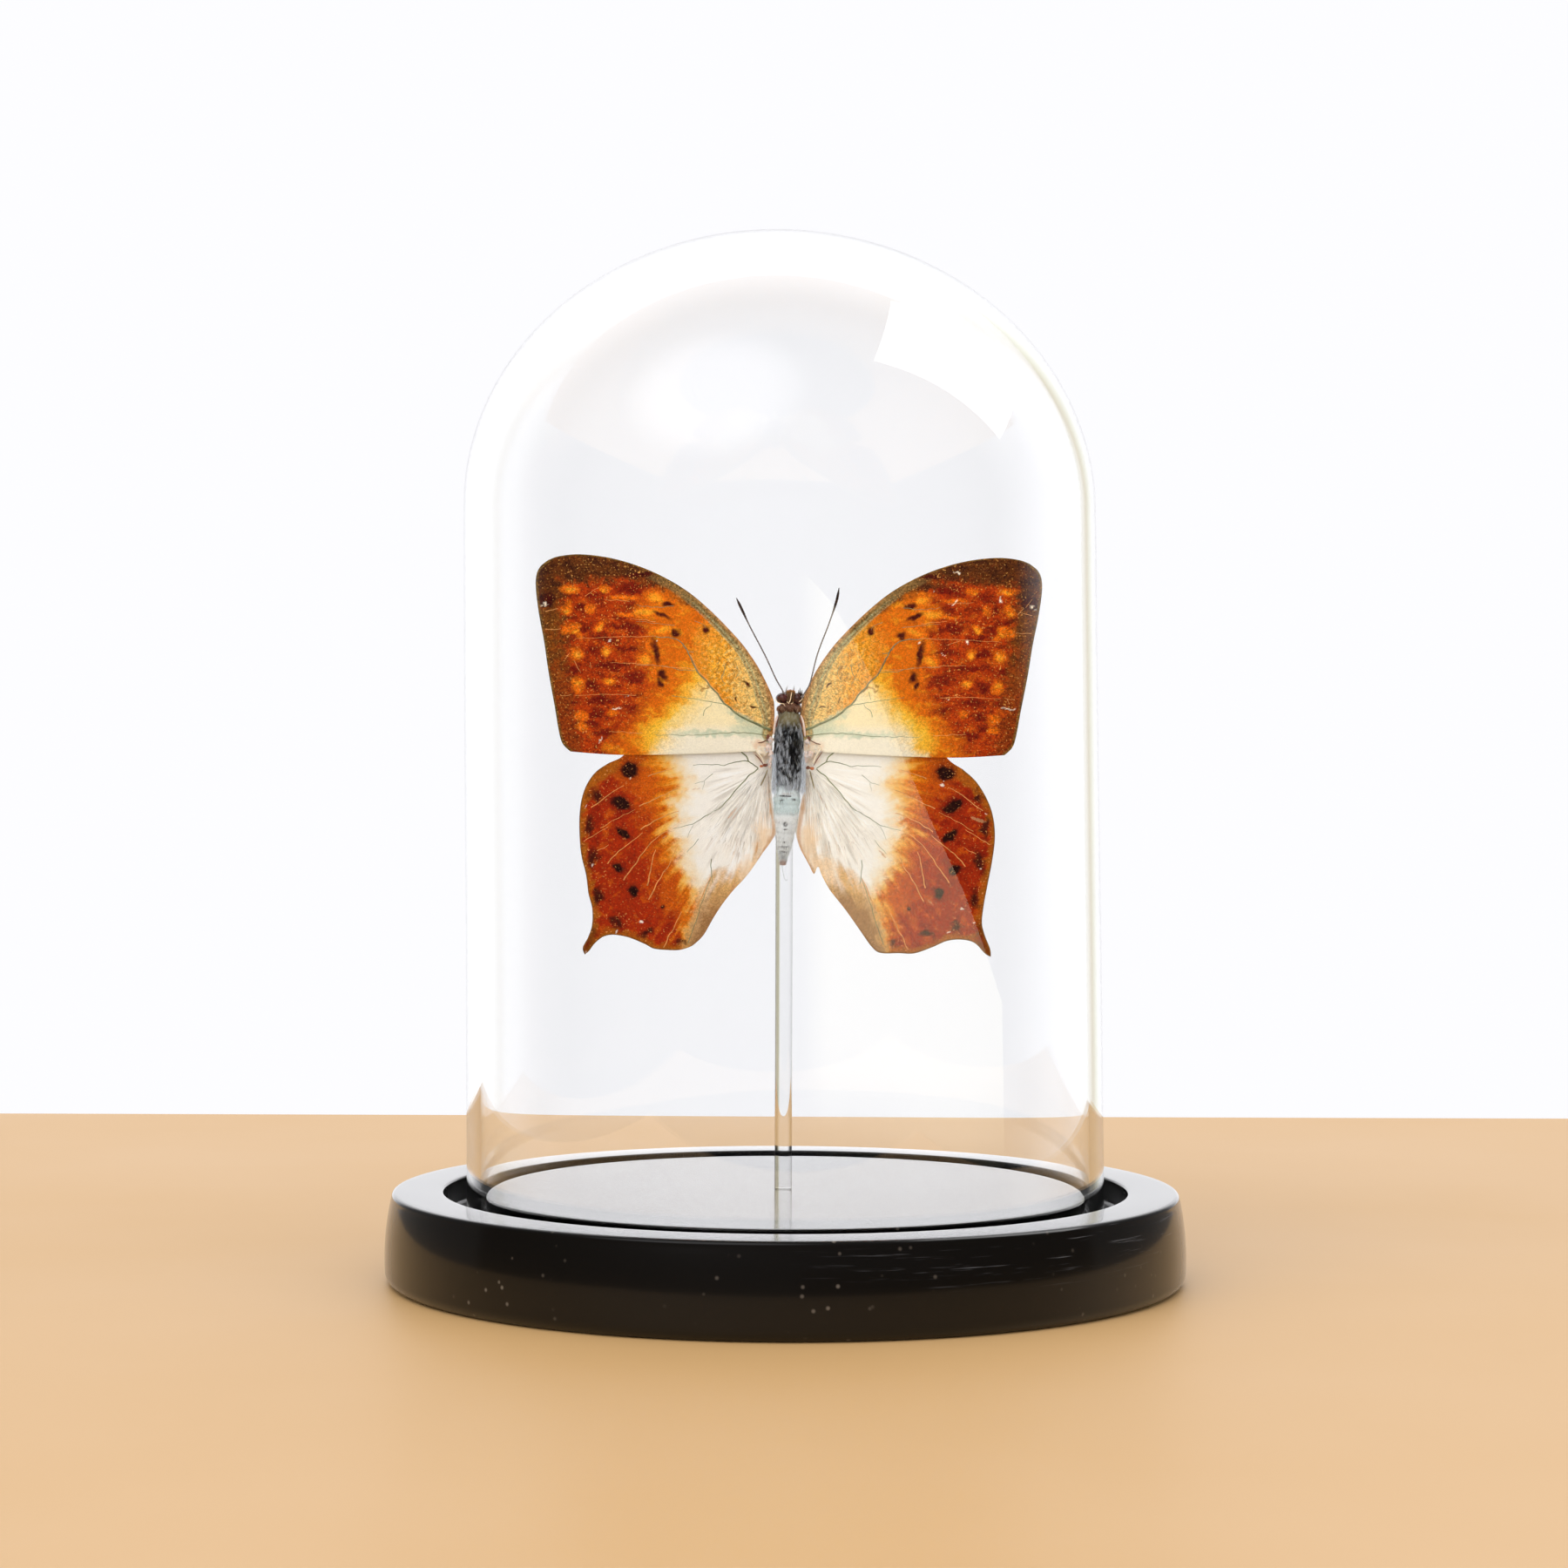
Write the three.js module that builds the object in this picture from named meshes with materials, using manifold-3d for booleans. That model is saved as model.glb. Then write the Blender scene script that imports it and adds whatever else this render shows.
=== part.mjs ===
// A spread butterfly glued upright on a clear glass rod, under a clear glass dome that stands in the
// groove of a round black base. Millimetres, +Z up, origin at the centre of the base's underside.
// The butterfly's back faces -Y, and its head points up.
import * as THREE from 'three';
import { mergeVertices } from 'three/addons/utils/BufferGeometryUtils.js';
import Module from 'manifold-3d';

const wasm = await Module();
wasm.setup();

// Driving dimensions.
const GAP = 0.3;                  // left between pieces that touch
const BASE_HEIGHT = 14.1;
const BASE_RADIUS = 62.7;         // at the fullest part of the bulging side
const BULGE_HEIGHT = 4.2;         // where the side is fullest
const BULGE = 0.0125;             // how fast the side draws in above and below it, per mm
const FOOT_ROUND = 2.0;
const RIM_ROUND = 0.7;
const GROOVE_OUTER = 53.6;
const GROOVE_INNER = 47.0;
const GROOVE_DEPTH = 4.0;
const PLATEAU_HEIGHT = 13.9;      // the disc inside the groove

const DOME_RADIUS = 50.0;         // outside, at the rim
const DOME_TAPER = 0.4;           // how much narrower it is at the shoulder
const DOME_WALL = 2.2;
const SHOULDER_HEIGHT = 120.7;
const CAP_RISE = 43.6;
const DOME_LEAN = -0.0115;        // blown glass stands a little out of true

const ROD_RADIUS = 1.35;
const ROD_X = -0.38;
const ROD_TOP = 86;
const BEAD_RADIUS = 2.3;
const BEAD_BOTTOM = 80.5;

const WING_PLANE = -6;            // how far the wings lie in front of the rod
const BUTTERFLY_X = 0.44;
const BUTTERFLY_Z = 83.1;         // height of the line where the fore- and hindwings meet
const BUTTERFLY_ROLL = 0.0052;
const WING_THICKNESS = 0.4;
const WING_SPACING = 0.8;         // between the middles of the forewing and the hindwing under it
const WING_SHIFT = -0.37;         // the wings' middle line lies a little to the left of the body's
const DIHEDRAL = 0.035;           // how far the wings rise towards the viewer, per mm outward

// Outlines, as [outward, up] from the point where the wings meet the body.
const FOREWING = {
  lead: [[2.6, 7.3], [3.9, 11.3], [6.5, 15.4], [9.3, 18.6], [12.7, 21.9], [16.1, 24.6], [20.2, 26.9],
    [24.3, 28.5], [28.3, 29.5], [32.4, 29.9], [35.5, 29.6], [37.2, 29.0]],
  outer: [[37.2, 29.0], [38.5, 27.9], [39.1, 26.4], [39.1, 24.2], [38.6, 20.6], [37.8, 16.4], [37.1, 11.8],
    [36.1, 6.4], [35.4, 2.4], [34.8, 0.5], [33.6, -0.7]],
  trail: [[3.0, -0.3], [14.4, -0.9], [25.7, -1.15], [33.6, -0.7]],
  root: [[2.6, 7.3], [2.5, 5.5], [2.6, 3.7], [2.9, 1.7], [3.0, -0.3]],
};
const HINDWING_LEFT = {
  lead: [[2.8, 0.8], [8.1, 2.3], [14.1, 2.9], [19.6, 2.2], [23.2, 0.6], [25.6, -1.4], [27.7, -2.4]],
  outer: [[27.7, -2.4], [29.7, -3.8], [31.1, -5.8], [31.9, -8.2], [32.2, -11.1], [32.1, -14.5], [31.8, -17.0],
    [31.1, -19.8], [30.7, -22.7], [30.1, -25.0], [30.1, -27.6], [30.7, -29.5], [31.5, -31.1], [31.2, -32.2]],
  trail: [[2.0, -12.8], [2.4, -13.8], [3.1, -15.2], [4.3, -17.1], [5.6, -19.0], [6.8, -20.5], [8.2, -22.0],
    [9.9, -24.2], [11.3, -26.4], [12.7, -28.9], [13.9, -30.2], [14.9, -30.9], [16.6, -31.4], [18.5, -31.4],
    [20.5, -31.2], [21.9, -30.5], [24.1, -29.6], [25.8, -29.2], [27.2, -29.1], [28.5, -29.5], [29.7, -30.5],
    [30.5, -31.6], [31.2, -32.2]],
  root: [[2.8, 0.8], [2.8, -3.0], [2.9, -6.0], [2.5, -9.5], [2.0, -12.8]],
};
const HINDWING_RIGHT = {
  lead: [[3.2, 0.8], [8.9, 2.3], [14.9, 2.9], [19.9, 2.2], [23.2, 0.4], [25.3, -1.7], [27.2, -2.9]],
  outer: [[27.2, -2.9], [29.3, -4.8], [31.0, -7.5], [32.0, -10.3], [32.3, -13.5], [31.9, -17.2], [31.3, -20.5],
    [30.7, -23.8], [30.4, -26.6], [30.8, -28.5], [31.7, -30.8], [31.8, -32.0]],
  trail: [[1.8, -12.8], [2.3, -15.6], [3.6, -18.2], [4.3, -19.4], [4.9, -18.2], [5.5, -19.6], [6.8, -21.9],
    [9.2, -24.9], [11.5, -28.1], [13.4, -30.7], [14.8, -31.6], [17.6, -31.6], [20.0, -31.6], [22.8, -30.6],
    [25.1, -29.6], [27.4, -29.4], [29.3, -29.9], [30.9, -31.5], [31.8, -32.0]],
  root: [[3.2, 0.8], [3.2, -3.0], [3.0, -6.0], [2.4, -9.5], [1.8, -12.8]],
};

const LACQUERED_WOOD = new THREE.MeshStandardMaterial({ color: 0x141414, roughness: 0.35, metalness: 0 });
const CLEAR_GLASS = new THREE.MeshStandardMaterial({ color: 0xf4f8f8, roughness: 0.02, metalness: 0,
  transparent: true, opacity: 0.25 });
const CLEAR_GLUE = new THREE.MeshStandardMaterial({ color: 0xf2f0e6, roughness: 0.1, metalness: 0,
  transparent: true, opacity: 0.5 });
const ORANGE_SCALES = new THREE.MeshStandardMaterial({ color: 0xb5561c, roughness: 0.7, metalness: 0 });
const PALE_SCALES = new THREE.MeshStandardMaterial({ color: 0xd9c6a4, roughness: 0.7, metalness: 0 });
const DARK_FUR = new THREE.MeshStandardMaterial({ color: 0x3a4048, roughness: 0.8, metalness: 0 });
const PALE_FUR = new THREE.MeshStandardMaterial({ color: 0xc4c8c2, roughness: 0.8, metalness: 0 });
const BROWN_CHITIN = new THREE.MeshStandardMaterial({ color: 0x4a2a1c, roughness: 0.45, metalness: 0 });

const object = new THREE.Group();
const butterfly = new THREE.Group();
butterfly.position.set(BUTTERFLY_X, WING_PLANE, BUTTERFLY_Z);
butterfly.rotation.y = BUTTERFLY_ROLL;
object.add(butterfly);

// Joins a geometry's shared vertices and drops the faces that have no area.
function closedBody(geometry) {
  geometry.deleteAttribute('normal');
  geometry.deleteAttribute('uv');
  const welded = mergeVertices(geometry);
  const corners = welded.index.array;
  const kept = [];
  for (let i = 0; i < corners.length; i += 3) {
    const [a, b, c] = [corners[i], corners[i + 1], corners[i + 2]];
    if (a !== b && b !== c && c !== a) kept.push(a, b, c);
  }
  welded.setIndex(kept);
  welded.computeVertexNormals();
  return welded;
}

function addPiece(group, name, geometry, material) {
  const mesh = new THREE.Mesh(geometry, material);
  mesh.name = name;
  group.add(mesh);
  return mesh;
}

// Turns a profile of [radius, height] points about the Z axis.
function turned(profile, segments) {
  const points = profile.map(([radius, height]) => new THREE.Vector2(radius, height));
  return closedBody(new THREE.LatheGeometry(points, segments).rotateX(Math.PI / 2));
}

// Points of an elliptical arc, from one angle to another.
function arc(centre, radii, from, to, steps) {
  const points = [];
  for (let i = 0; i <= steps; i++) {
    const angle = from + (to - from) * i / steps;
    points.push([centre[0] + radii[0] * Math.cos(angle), centre[1] + radii[1] * Math.sin(angle)]);
  }
  return points;
}

// A limb along a curve, with its half width and half depth given for each share of its length.
function limb(curve, halfWidth, halfDepth, steps, sides, across = new THREE.Vector3(1, 0, 0)) {
  const profile = [new THREE.Vector2(0, 0)];
  for (let i = 0; i <= steps; i++) profile.push(new THREE.Vector2(1, i / steps));
  profile.push(new THREE.Vector2(0, 1));
  const geometry = new THREE.LatheGeometry(profile, sides);
  const place = geometry.attributes.position;
  for (let i = 0; i < place.count; i++) {
    const along = place.getY(i);
    const forward = curve.getTangentAt(along);
    const depth = new THREE.Vector3().crossVectors(across, forward).normalize();
    const width = new THREE.Vector3().crossVectors(forward, depth);
    const point = curve.getPointAt(along);
    point.addScaledVector(width, place.getX(i) * halfWidth(along));
    point.addScaledVector(depth, place.getZ(i) * halfDepth(along));
    place.setXYZ(i, point.x, point.y, point.z);
  }
  return closedBody(geometry);
}

function curveThrough(points) {
  return new THREE.CatmullRomCurve3(points.map((point) => new THREE.Vector3(...point)));
}

// The base: a turned disc with a bulging side and a groove for the dome's rim.
function makeBase() {
  const side = (height) => BASE_RADIUS - BULGE * (height - BULGE_HEIGHT) ** 2;
  const grooveFloor = BASE_HEIGHT - GROOVE_DEPTH;
  const rimHeight = BASE_HEIGHT - RIM_ROUND;
  const profile = [
    [0, 0],
    ...arc([side(FOOT_ROUND) - FOOT_ROUND, FOOT_ROUND], [FOOT_ROUND, FOOT_ROUND], -Math.PI / 2, 0, 3),
    [side(BULGE_HEIGHT), BULGE_HEIGHT],
    [side(9), 9],
    ...arc([side(rimHeight) - RIM_ROUND, rimHeight], [RIM_ROUND, RIM_ROUND], 0, Math.PI / 2, 2),
    [GROOVE_OUTER + 0.3, BASE_HEIGHT],
    [GROOVE_OUTER, BASE_HEIGHT - 0.3],
    [GROOVE_OUTER, grooveFloor],
    [GROOVE_INNER, grooveFloor],
    [GROOVE_INNER, PLATEAU_HEIGHT - 0.3],
    [GROOVE_INNER - 0.3, PLATEAU_HEIGHT],
    [0, PLATEAU_HEIGHT],
  ];
  addPiece(object, 'base', turned(profile, 64), LACQUERED_WOOD);
}

// The dome: one blown wall with a rounded rim, open at the bottom.
function makeDome() {
  const rimRound = DOME_WALL / 2;
  const rimHeight = BASE_HEIGHT - GROOVE_DEPTH + GAP + rimRound;
  const shoulder = DOME_RADIUS - DOME_TAPER;
  const up = Math.PI / 2;
  const profile = [
    ...arc([DOME_RADIUS - rimRound, rimHeight], [rimRound, rimRound], -Math.PI, 0, 4),
    ...arc([0, SHOULDER_HEIGHT], [shoulder, CAP_RISE], 0, up, 9),
    ...arc([0, SHOULDER_HEIGHT], [shoulder - DOME_WALL, CAP_RISE - DOME_WALL], up, 0, 8),
    [DOME_RADIUS - DOME_WALL, rimHeight],
  ];
  const dome = turned(profile, 48);
  dome.applyMatrix4(new THREE.Matrix4().makeShear(0, 0, 0, 0, DOME_LEAN, 0));
  dome.translate(-DOME_LEAN * rimHeight, 0, 0);
  addPiece(object, 'dome', dome, CLEAR_GLASS);
}

// The rod, and the bead of glue over its top end that holds the thorax.
function makeRod() {
  const foot = PLATEAU_HEIGHT + GAP;
  const rod = [
    [0, foot],
    [ROD_RADIUS, foot],
    ...arc([0, ROD_TOP - ROD_RADIUS], [ROD_RADIUS, ROD_RADIUS], 0, Math.PI / 2, 3),
  ];
  const bore = ROD_RADIUS + GAP;
  const shoulder = ROD_TOP - ROD_RADIUS;
  const bead = [
    [bore, BEAD_BOTTOM],
    [BEAD_RADIUS, BEAD_BOTTOM + 1.4],
    ...arc([0, shoulder], [BEAD_RADIUS, BEAD_RADIUS], 0, Math.PI / 2, 4),
    ...arc([0, shoulder], [bore, bore], Math.PI / 2, 0, 3),
    [bore, BEAD_BOTTOM],
  ];
  addPiece(object, 'rod', turned(rod, 16), CLEAR_GLASS).position.x = ROD_X;
  addPiece(object, 'glue_bead', turned(bead, 16), CLEAR_GLUE).position.x = ROD_X;
}

// A wing: a thin plate between four edge curves, which meet at its corners.
function makeWing(name, outline, side, behind, steps, material) {
  const edge = {};
  for (const [key, points] of Object.entries(outline)) {
    edge[key] = new THREE.SplineCurve(points.map(([outward, up]) => new THREE.Vector2(outward, up)));
  }
  const corner = (curve, end) => curve.getPoint(end);
  const geometry = new THREE.BoxGeometry(1, 1, 1, steps[0], steps[1], 1);
  const place = geometry.attributes.position;
  for (let i = 0; i < place.count; i++) {
    const along = 0.5 + side * place.getX(i);
    const down = 0.5 - place.getY(i);
    const point = edge.lead.getPointAt(along).multiplyScalar(1 - down);
    point.addScaledVector(edge.trail.getPointAt(along), down);
    point.addScaledVector(edge.root.getPointAt(down), 1 - along);
    point.addScaledVector(edge.outer.getPointAt(down), along);
    point.addScaledVector(corner(edge.lead, 0), -(1 - along) * (1 - down));
    point.addScaledVector(corner(edge.lead, 1), -along * (1 - down));
    point.addScaledVector(corner(edge.trail, 0), -(1 - along) * down);
    point.addScaledVector(corner(edge.trail, 1), -along * down);
    const back = behind - DIHEDRAL * point.x - WING_THICKNESS * place.getZ(i);
    place.setXYZ(i, side * point.x + WING_SHIFT, back, point.y);
  }
  addPiece(butterfly, name, closedBody(geometry), material);
}

// The head is one piece with its two bulging eyes.
function makeHead() {
  const toManifold = (geometry) => {
    const body = closedBody(geometry);
    return new wasm.Manifold(new wasm.Mesh({
      numProp: 3,
      vertProperties: new Float32Array(body.attributes.position.array),
      triVerts: new Uint32Array(body.index.array),
    }));
  };
  const ball = (radii, centre) => toManifold(
    new THREE.SphereGeometry(1, 12, 8).scale(...radii).translate(...centre));
  const joined = ball([1.4, 1.55, 1.3], [-0.1, 0.4, 7.9])
    .add(ball([1.05, 1.2, 1.0], [-1.2, 0.2, 7.75]))
    .add(ball([1.05, 1.2, 1.0], [1.0, 0.2, 7.75]));
  const mesh = joined.getMesh();
  const head = new THREE.BufferGeometry();
  head.setAttribute('position', new THREE.BufferAttribute(new Float32Array(mesh.vertProperties), 3));
  head.setIndex(Array.from(mesh.triVerts));
  head.computeVertexNormals();
  addPiece(butterfly, 'head', head, BROWN_CHITIN);
}

// Thorax and abdomen, with their fur included.
function makeBody() {
  const fullness = (share) => (1 - Math.abs(2 * share - 1) ** 3.2) ** (1 / 2.6);
  const thoraxWidth = (share) => Math.max(1.3, (2.7 - 0.6 * share) * fullness(share));
  const thoraxDepth = (share) => Math.max(1.2, 3.0 * fullness(share));
  const thorax = limb(curveThrough([[-0.1, 0.4, -6.1], [-0.15, 0.4, 0], [-0.2, 0.4, 6.2]]),
    thoraxWidth, thoraxDepth, 10, 14);
  addPiece(butterfly, 'thorax', thorax, DARK_FUR);
  const waist = (share) => 0.7 + 0.3 * THREE.MathUtils.smoothstep(share, 0, 0.15);
  const taper = (share) => waist(share) * (1 - 0.36 * share - 0.5 * share ** 3);
  const axis = [[-0.3, 0.3, -6.4], [-0.45, 0.5, -9.5], [-0.6, 0.8, -12.5], [-0.8, 1.1, -15.5],
    [-0.95, 1.4, -18.2]];
  const abdomen = limb(curveThrough(axis),
    (share) => 2.15 * taper(share), (share) => 2.25 * taper(share), 11, 12);
  addPiece(butterfly, 'abdomen', abdomen, PALE_FUR);
}

function makeAntennae() {
  const routes = {
    antenna_left: [[-1.2, -0.6, 9.2], [-2.33, -1.2, 11.0], [-3.93, -1.5, 14.4], [-6.28, -1.7, 18.8],
      [-7.4, -1.8, 21.1], [-8.47, -1.9, 23.3]],
    antenna_right: [[2.2, -1.25, 8.9], [3.05, -1.5, 10.5], [4.17, -1.6, 14.8], [5.83, -1.8, 19.3],
      [7.0, -1.9, 22.9], [7.4, -2.0, 25.0]],
  };
  // A thin shaft that swells to a slim club over its last fifth.
  const radius = (share) => 0.11 + 0.11 * THREE.MathUtils.smoothstep(share, 0.75, 0.9)
    - 0.14 * THREE.MathUtils.smoothstep(share, 0.93, 1);
  for (const [name, route] of Object.entries(routes)) {
    const across = new THREE.Vector3(0, 1, 0);
    addPiece(butterfly, name, limb(curveThrough(route), radius, radius, 12, 5, across), BROWN_CHITIN);
  }
}

// Palps and the coiled proboscis, under the head.
function makeMouthparts() {
  const palpRadius = (share) => 0.3 - 0.22 * share;
  for (const [name, side] of [['palp_left', -1], ['palp_right', 1]]) {
    const route = curveThrough([[side * 0.6 - 0.1, 2.55, 7.9], [side * 0.6 - 0.1, 2.3, 9.3],
      [side * 0.5 - 0.1, 1.6, 10.2]]);
    addPiece(butterfly, name, limb(route, palpRadius, palpRadius, 4, 6), PALE_FUR);
  }
  const turns = 2;
  const coil = [];
  for (let i = 0; i <= 16; i++) {
    const share = i / 16;
    const angle = turns * 2 * Math.PI * share;
    const reach = 0.85 - 0.6 * share;
    coil.push([-0.1, 3.05 - reach * Math.cos(angle), 7.6 + reach * Math.sin(angle)]);
  }
  const thickness = () => 0.11;
  addPiece(butterfly, 'proboscis', limb(curveThrough(coil), thickness, thickness, 20, 5), BROWN_CHITIN);
}

// Legs, folded under the thorax. The first pair is short, as in all brush-footed butterflies.
function makeLegs() {
  const routes = {
    foreleg: [[1.2, 3.1, 4.2], [2.4, 2.9, 6.0], [1.8, 2.9, 7.4]],
    midleg: [[2.0, 3.1, 2.2], [4.6, 2.7, 4.4], [4.9, 2.4, 0.0], [4.6, 2.4, -3.6]],
    hindleg: [[2.0, 3.1, -2.0], [3.7, 3.3, -0.1], [3.6, 3.0, -5.0], [3.1, 2.8, -9.2]],
  };
  const radius = (share) => 0.28 - 0.18 * share;
  for (const [name, route] of Object.entries(routes)) {
    for (const [sideName, side] of [['left', -1], ['right', 1]]) {
      const mirrored = route.map(([outward, back, up]) => [side * outward, back, up]);
      const across = new THREE.Vector3(0, 1, 0);
      addPiece(butterfly, `${name}_${sideName}`,
        limb(curveThrough(mirrored), radius, radius, 8, 5, across), BROWN_CHITIN);
    }
  }
}

makeBase();
makeDome();
makeRod();
makeWing('forewing_left', FOREWING, -1, -WING_SPACING / 2, [12, 13], ORANGE_SCALES);
makeWing('forewing_right', FOREWING, 1, -WING_SPACING / 2, [12, 13], ORANGE_SCALES);
makeWing('hindwing_left', HINDWING_LEFT, -1, WING_SPACING / 2, [22, 8], PALE_SCALES);
makeWing('hindwing_right', HINDWING_RIGHT, 1, WING_SPACING / 2, [22, 8], PALE_SCALES);
makeHead();
makeBody();
makeAntennae();
makeMouthparts();
makeLegs();

export default object;
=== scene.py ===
"""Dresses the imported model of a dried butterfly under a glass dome.

The frame holds the solids at their real size. This script gives each one its finish: a black lacquered
base, clear blown glass, scaled and veined wings, and a body with fur. Blender units are metres.
"""
from functools import partial
from math import cos, pi, radians, sin, tan

import bpy
import numpy as np
from mathutils import Color, Euler, Matrix, Vector


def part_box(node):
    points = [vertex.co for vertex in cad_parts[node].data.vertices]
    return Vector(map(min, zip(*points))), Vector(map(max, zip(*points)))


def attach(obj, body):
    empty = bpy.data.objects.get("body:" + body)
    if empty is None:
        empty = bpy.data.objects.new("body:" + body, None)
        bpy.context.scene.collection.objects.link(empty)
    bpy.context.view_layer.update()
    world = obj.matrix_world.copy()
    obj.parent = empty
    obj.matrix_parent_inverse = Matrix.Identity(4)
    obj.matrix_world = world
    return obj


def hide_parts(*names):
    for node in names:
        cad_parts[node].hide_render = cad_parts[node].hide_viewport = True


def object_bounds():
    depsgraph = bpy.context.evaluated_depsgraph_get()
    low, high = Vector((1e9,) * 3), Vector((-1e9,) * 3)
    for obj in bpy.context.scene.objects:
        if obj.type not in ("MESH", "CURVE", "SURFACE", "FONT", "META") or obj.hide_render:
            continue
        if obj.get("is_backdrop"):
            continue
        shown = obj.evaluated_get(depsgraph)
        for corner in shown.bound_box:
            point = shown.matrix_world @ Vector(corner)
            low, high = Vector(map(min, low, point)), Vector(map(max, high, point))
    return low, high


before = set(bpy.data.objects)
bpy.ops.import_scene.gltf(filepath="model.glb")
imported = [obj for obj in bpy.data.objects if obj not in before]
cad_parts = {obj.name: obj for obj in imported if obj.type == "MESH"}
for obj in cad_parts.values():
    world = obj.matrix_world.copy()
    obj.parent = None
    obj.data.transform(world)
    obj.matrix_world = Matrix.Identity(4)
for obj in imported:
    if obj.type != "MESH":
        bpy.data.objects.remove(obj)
CAD_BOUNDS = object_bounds()

bl_info = {
    "name": "Butterfly in a Glass Dome",
    "version": (1, 0, 0),
    "blender": (4, 5, 0),
    "location": "3D View > Sidebar > Dome",
    "description": "Finishes a dried butterfly on a glass rod, its glass dome and its lacquered base",
    "category": "Object",
}

MM = 0.001


# ---------------------------------------------------------------- colours, nodes and meshes

def linear(code):
    """An sRGB hex colour as linear red, green and blue."""
    parts = [int(code[i:i + 2], 16) / 255 for i in (1, 3, 5)]
    return tuple(p / 12.92 if p <= 0.04045 else ((p + 0.055) / 1.055) ** 2.4 for p in parts)


def node(tree, kind, inputs=(), **settings):
    """Adds one shader node. Its inputs are a list in the sockets' order, or a dictionary by name or number.
    Each is a plain value, a colour, a socket, or a node, which stands for its first output in use."""
    made = tree.nodes.new("ShaderNode" + kind)
    for key, value in settings.items():
        setattr(made, key, value)
    for key, value in inputs.items() if isinstance(inputs, dict) else enumerate(inputs):
        if isinstance(value, bpy.types.Node):
            value = next(socket for socket in value.outputs if socket.enabled)
        if isinstance(value, bpy.types.NodeSocket):
            tree.links.new(value, made.inputs[key])
        elif isinstance(value, (str, Color)):
            made.inputs[key].default_value = (*(linear(value) if isinstance(value, str) else value), 1)
        else:
            made.inputs[key].default_value = value
    return made


# What most Math and Mix nodes are set to.
TIMES = {"operation": "MULTIPLY"}
PAINT = {"data_type": "RGBA"}


def emptied(owner):
    """Clears a material's or a world's nodes, and gives the function that adds new ones."""
    owner.use_nodes = True
    owner.node_tree.nodes.clear()
    return partial(node, owner.node_tree)


def new_material(name):
    """An empty material, and the function that adds its nodes."""
    material = bpy.data.materials.new(name)
    return material, emptied(material)


def smoothstep(x, low, high):
    """From nothing at the low end to one at the high end, with soft ends."""
    share = np.clip((np.asarray(x, float) - low) / (high - low), 0, 1)
    return share * share * (3 - 2 * share)


def fade(x, low, high):
    """From one at the low end to nothing at the high end."""
    return 1 - smoothstep(x, low, high)


def bell(x, middle, half):
    """One in the middle, and almost nothing two half widths away."""
    return np.exp(-((x - middle) / half) ** 2)


def scattered(rng, middle, spread, count):
    """Random shares from nothing to one, most of them near the middle."""
    return np.clip(rng.normal(middle, spread, count), 0, 1)


def spline(points, shares):
    """Points at equal lengths along a smooth curve through the given ones."""
    points = np.array(points, float)
    padded = np.vstack([points[:1], points, points[-1:]])
    t = np.linspace(0, 1, 24, endpoint=False)[:, None]
    runs = []
    for a, b, c, d in zip(padded, padded[1:], padded[2:], padded[3:]):
        runs.append(0.5 * (2 * b + (c - a) * t + (2 * a - 5 * b + 4 * c - d) * t ** 2
                           + (3 * b - a - 3 * c + d) * t ** 3))
    path = np.vstack(runs + [points[-1:]])
    reach = np.concatenate([[0], np.cumsum(np.linalg.norm(np.diff(path, axis=0), axis=1))])
    wanted = np.asarray(shares) * reach[-1]
    return np.stack([np.interp(wanted, reach, path[:, k]) for k in range(path.shape[1])], -1)


class Shell:
    """Vertices, faces and masks gathered for one piece, in millimetres."""

    def __init__(self):
        self.points, self.faces, self.slots, self.masks, self.count = [], [], [], {}, 0

    def add(self, points, faces, slot=0, **masks):
        """Adds a patch. Faces are groups of rows of corner numbers, with one slot or one for each group.
        A mask is one value for each point."""
        points = np.asarray(points, float).reshape(-1, 3)
        for key in set(self.masks) | set(masks):
            rows = self.masks.setdefault(key, [np.zeros(self.count)] if self.count else [])
            value = masks.get(key, 0.0)
            rows.append(np.broadcast_to(np.asarray(value, float), (len(points),)).copy())
        self.points.append(points)
        slots = [slot] * len(faces) if isinstance(slot, int) else slot
        for group, number in zip(faces, slots):
            self.faces.append(np.asarray(group) + self.count)
            self.slots.append(number)
        self.count += len(points)

    def build(self, name, materials, stands_for, place=None):
        """Makes the object, seats it on the frame and hides the solids that it stands for."""
        points = np.vstack(self.points)
        if place is not None:
            points = points @ np.array(place.to_3x3()).T + np.array(place.translation) / MM
        loops = np.concatenate([group.ravel() for group in self.faces])
        sizes = np.concatenate([np.full(len(group), group.shape[1]) for group in self.faces])
        slots = np.concatenate([np.full(len(group), slot) for group, slot in zip(self.faces, self.slots)])
        mesh = bpy.data.meshes.new(name)
        mesh.vertices.add(len(points))
        mesh.vertices.foreach_set("co", (points * MM).astype(np.float32).ravel())
        mesh.loops.add(len(loops))
        mesh.loops.foreach_set("vertex_index", loops.astype(np.int32))
        mesh.polygons.add(len(sizes))
        starts = np.concatenate([[0], np.cumsum(sizes)[:-1]])
        mesh.polygons.foreach_set("loop_start", starts.astype(np.int32))
        mesh.polygons.foreach_set("loop_total", sizes.astype(np.int32))
        mesh.polygons.foreach_set("material_index", slots.astype(np.int32))
        mesh.polygons.foreach_set("use_smooth", np.ones(len(sizes), bool))
        for key, rows in self.masks.items():
            layer = mesh.attributes.new(key, "FLOAT", "POINT")
            layer.data.foreach_set("value", np.concatenate(rows).astype(np.float32))
        for material in materials:
            mesh.materials.append(material)
        mesh.update(calc_edges=True)
        mesh.validate()
        piece = bpy.data.objects.new(name, mesh)
        bpy.context.scene.collection.objects.link(piece)
        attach(piece, "root")
        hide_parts(*stands_for)
        return piece


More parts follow.
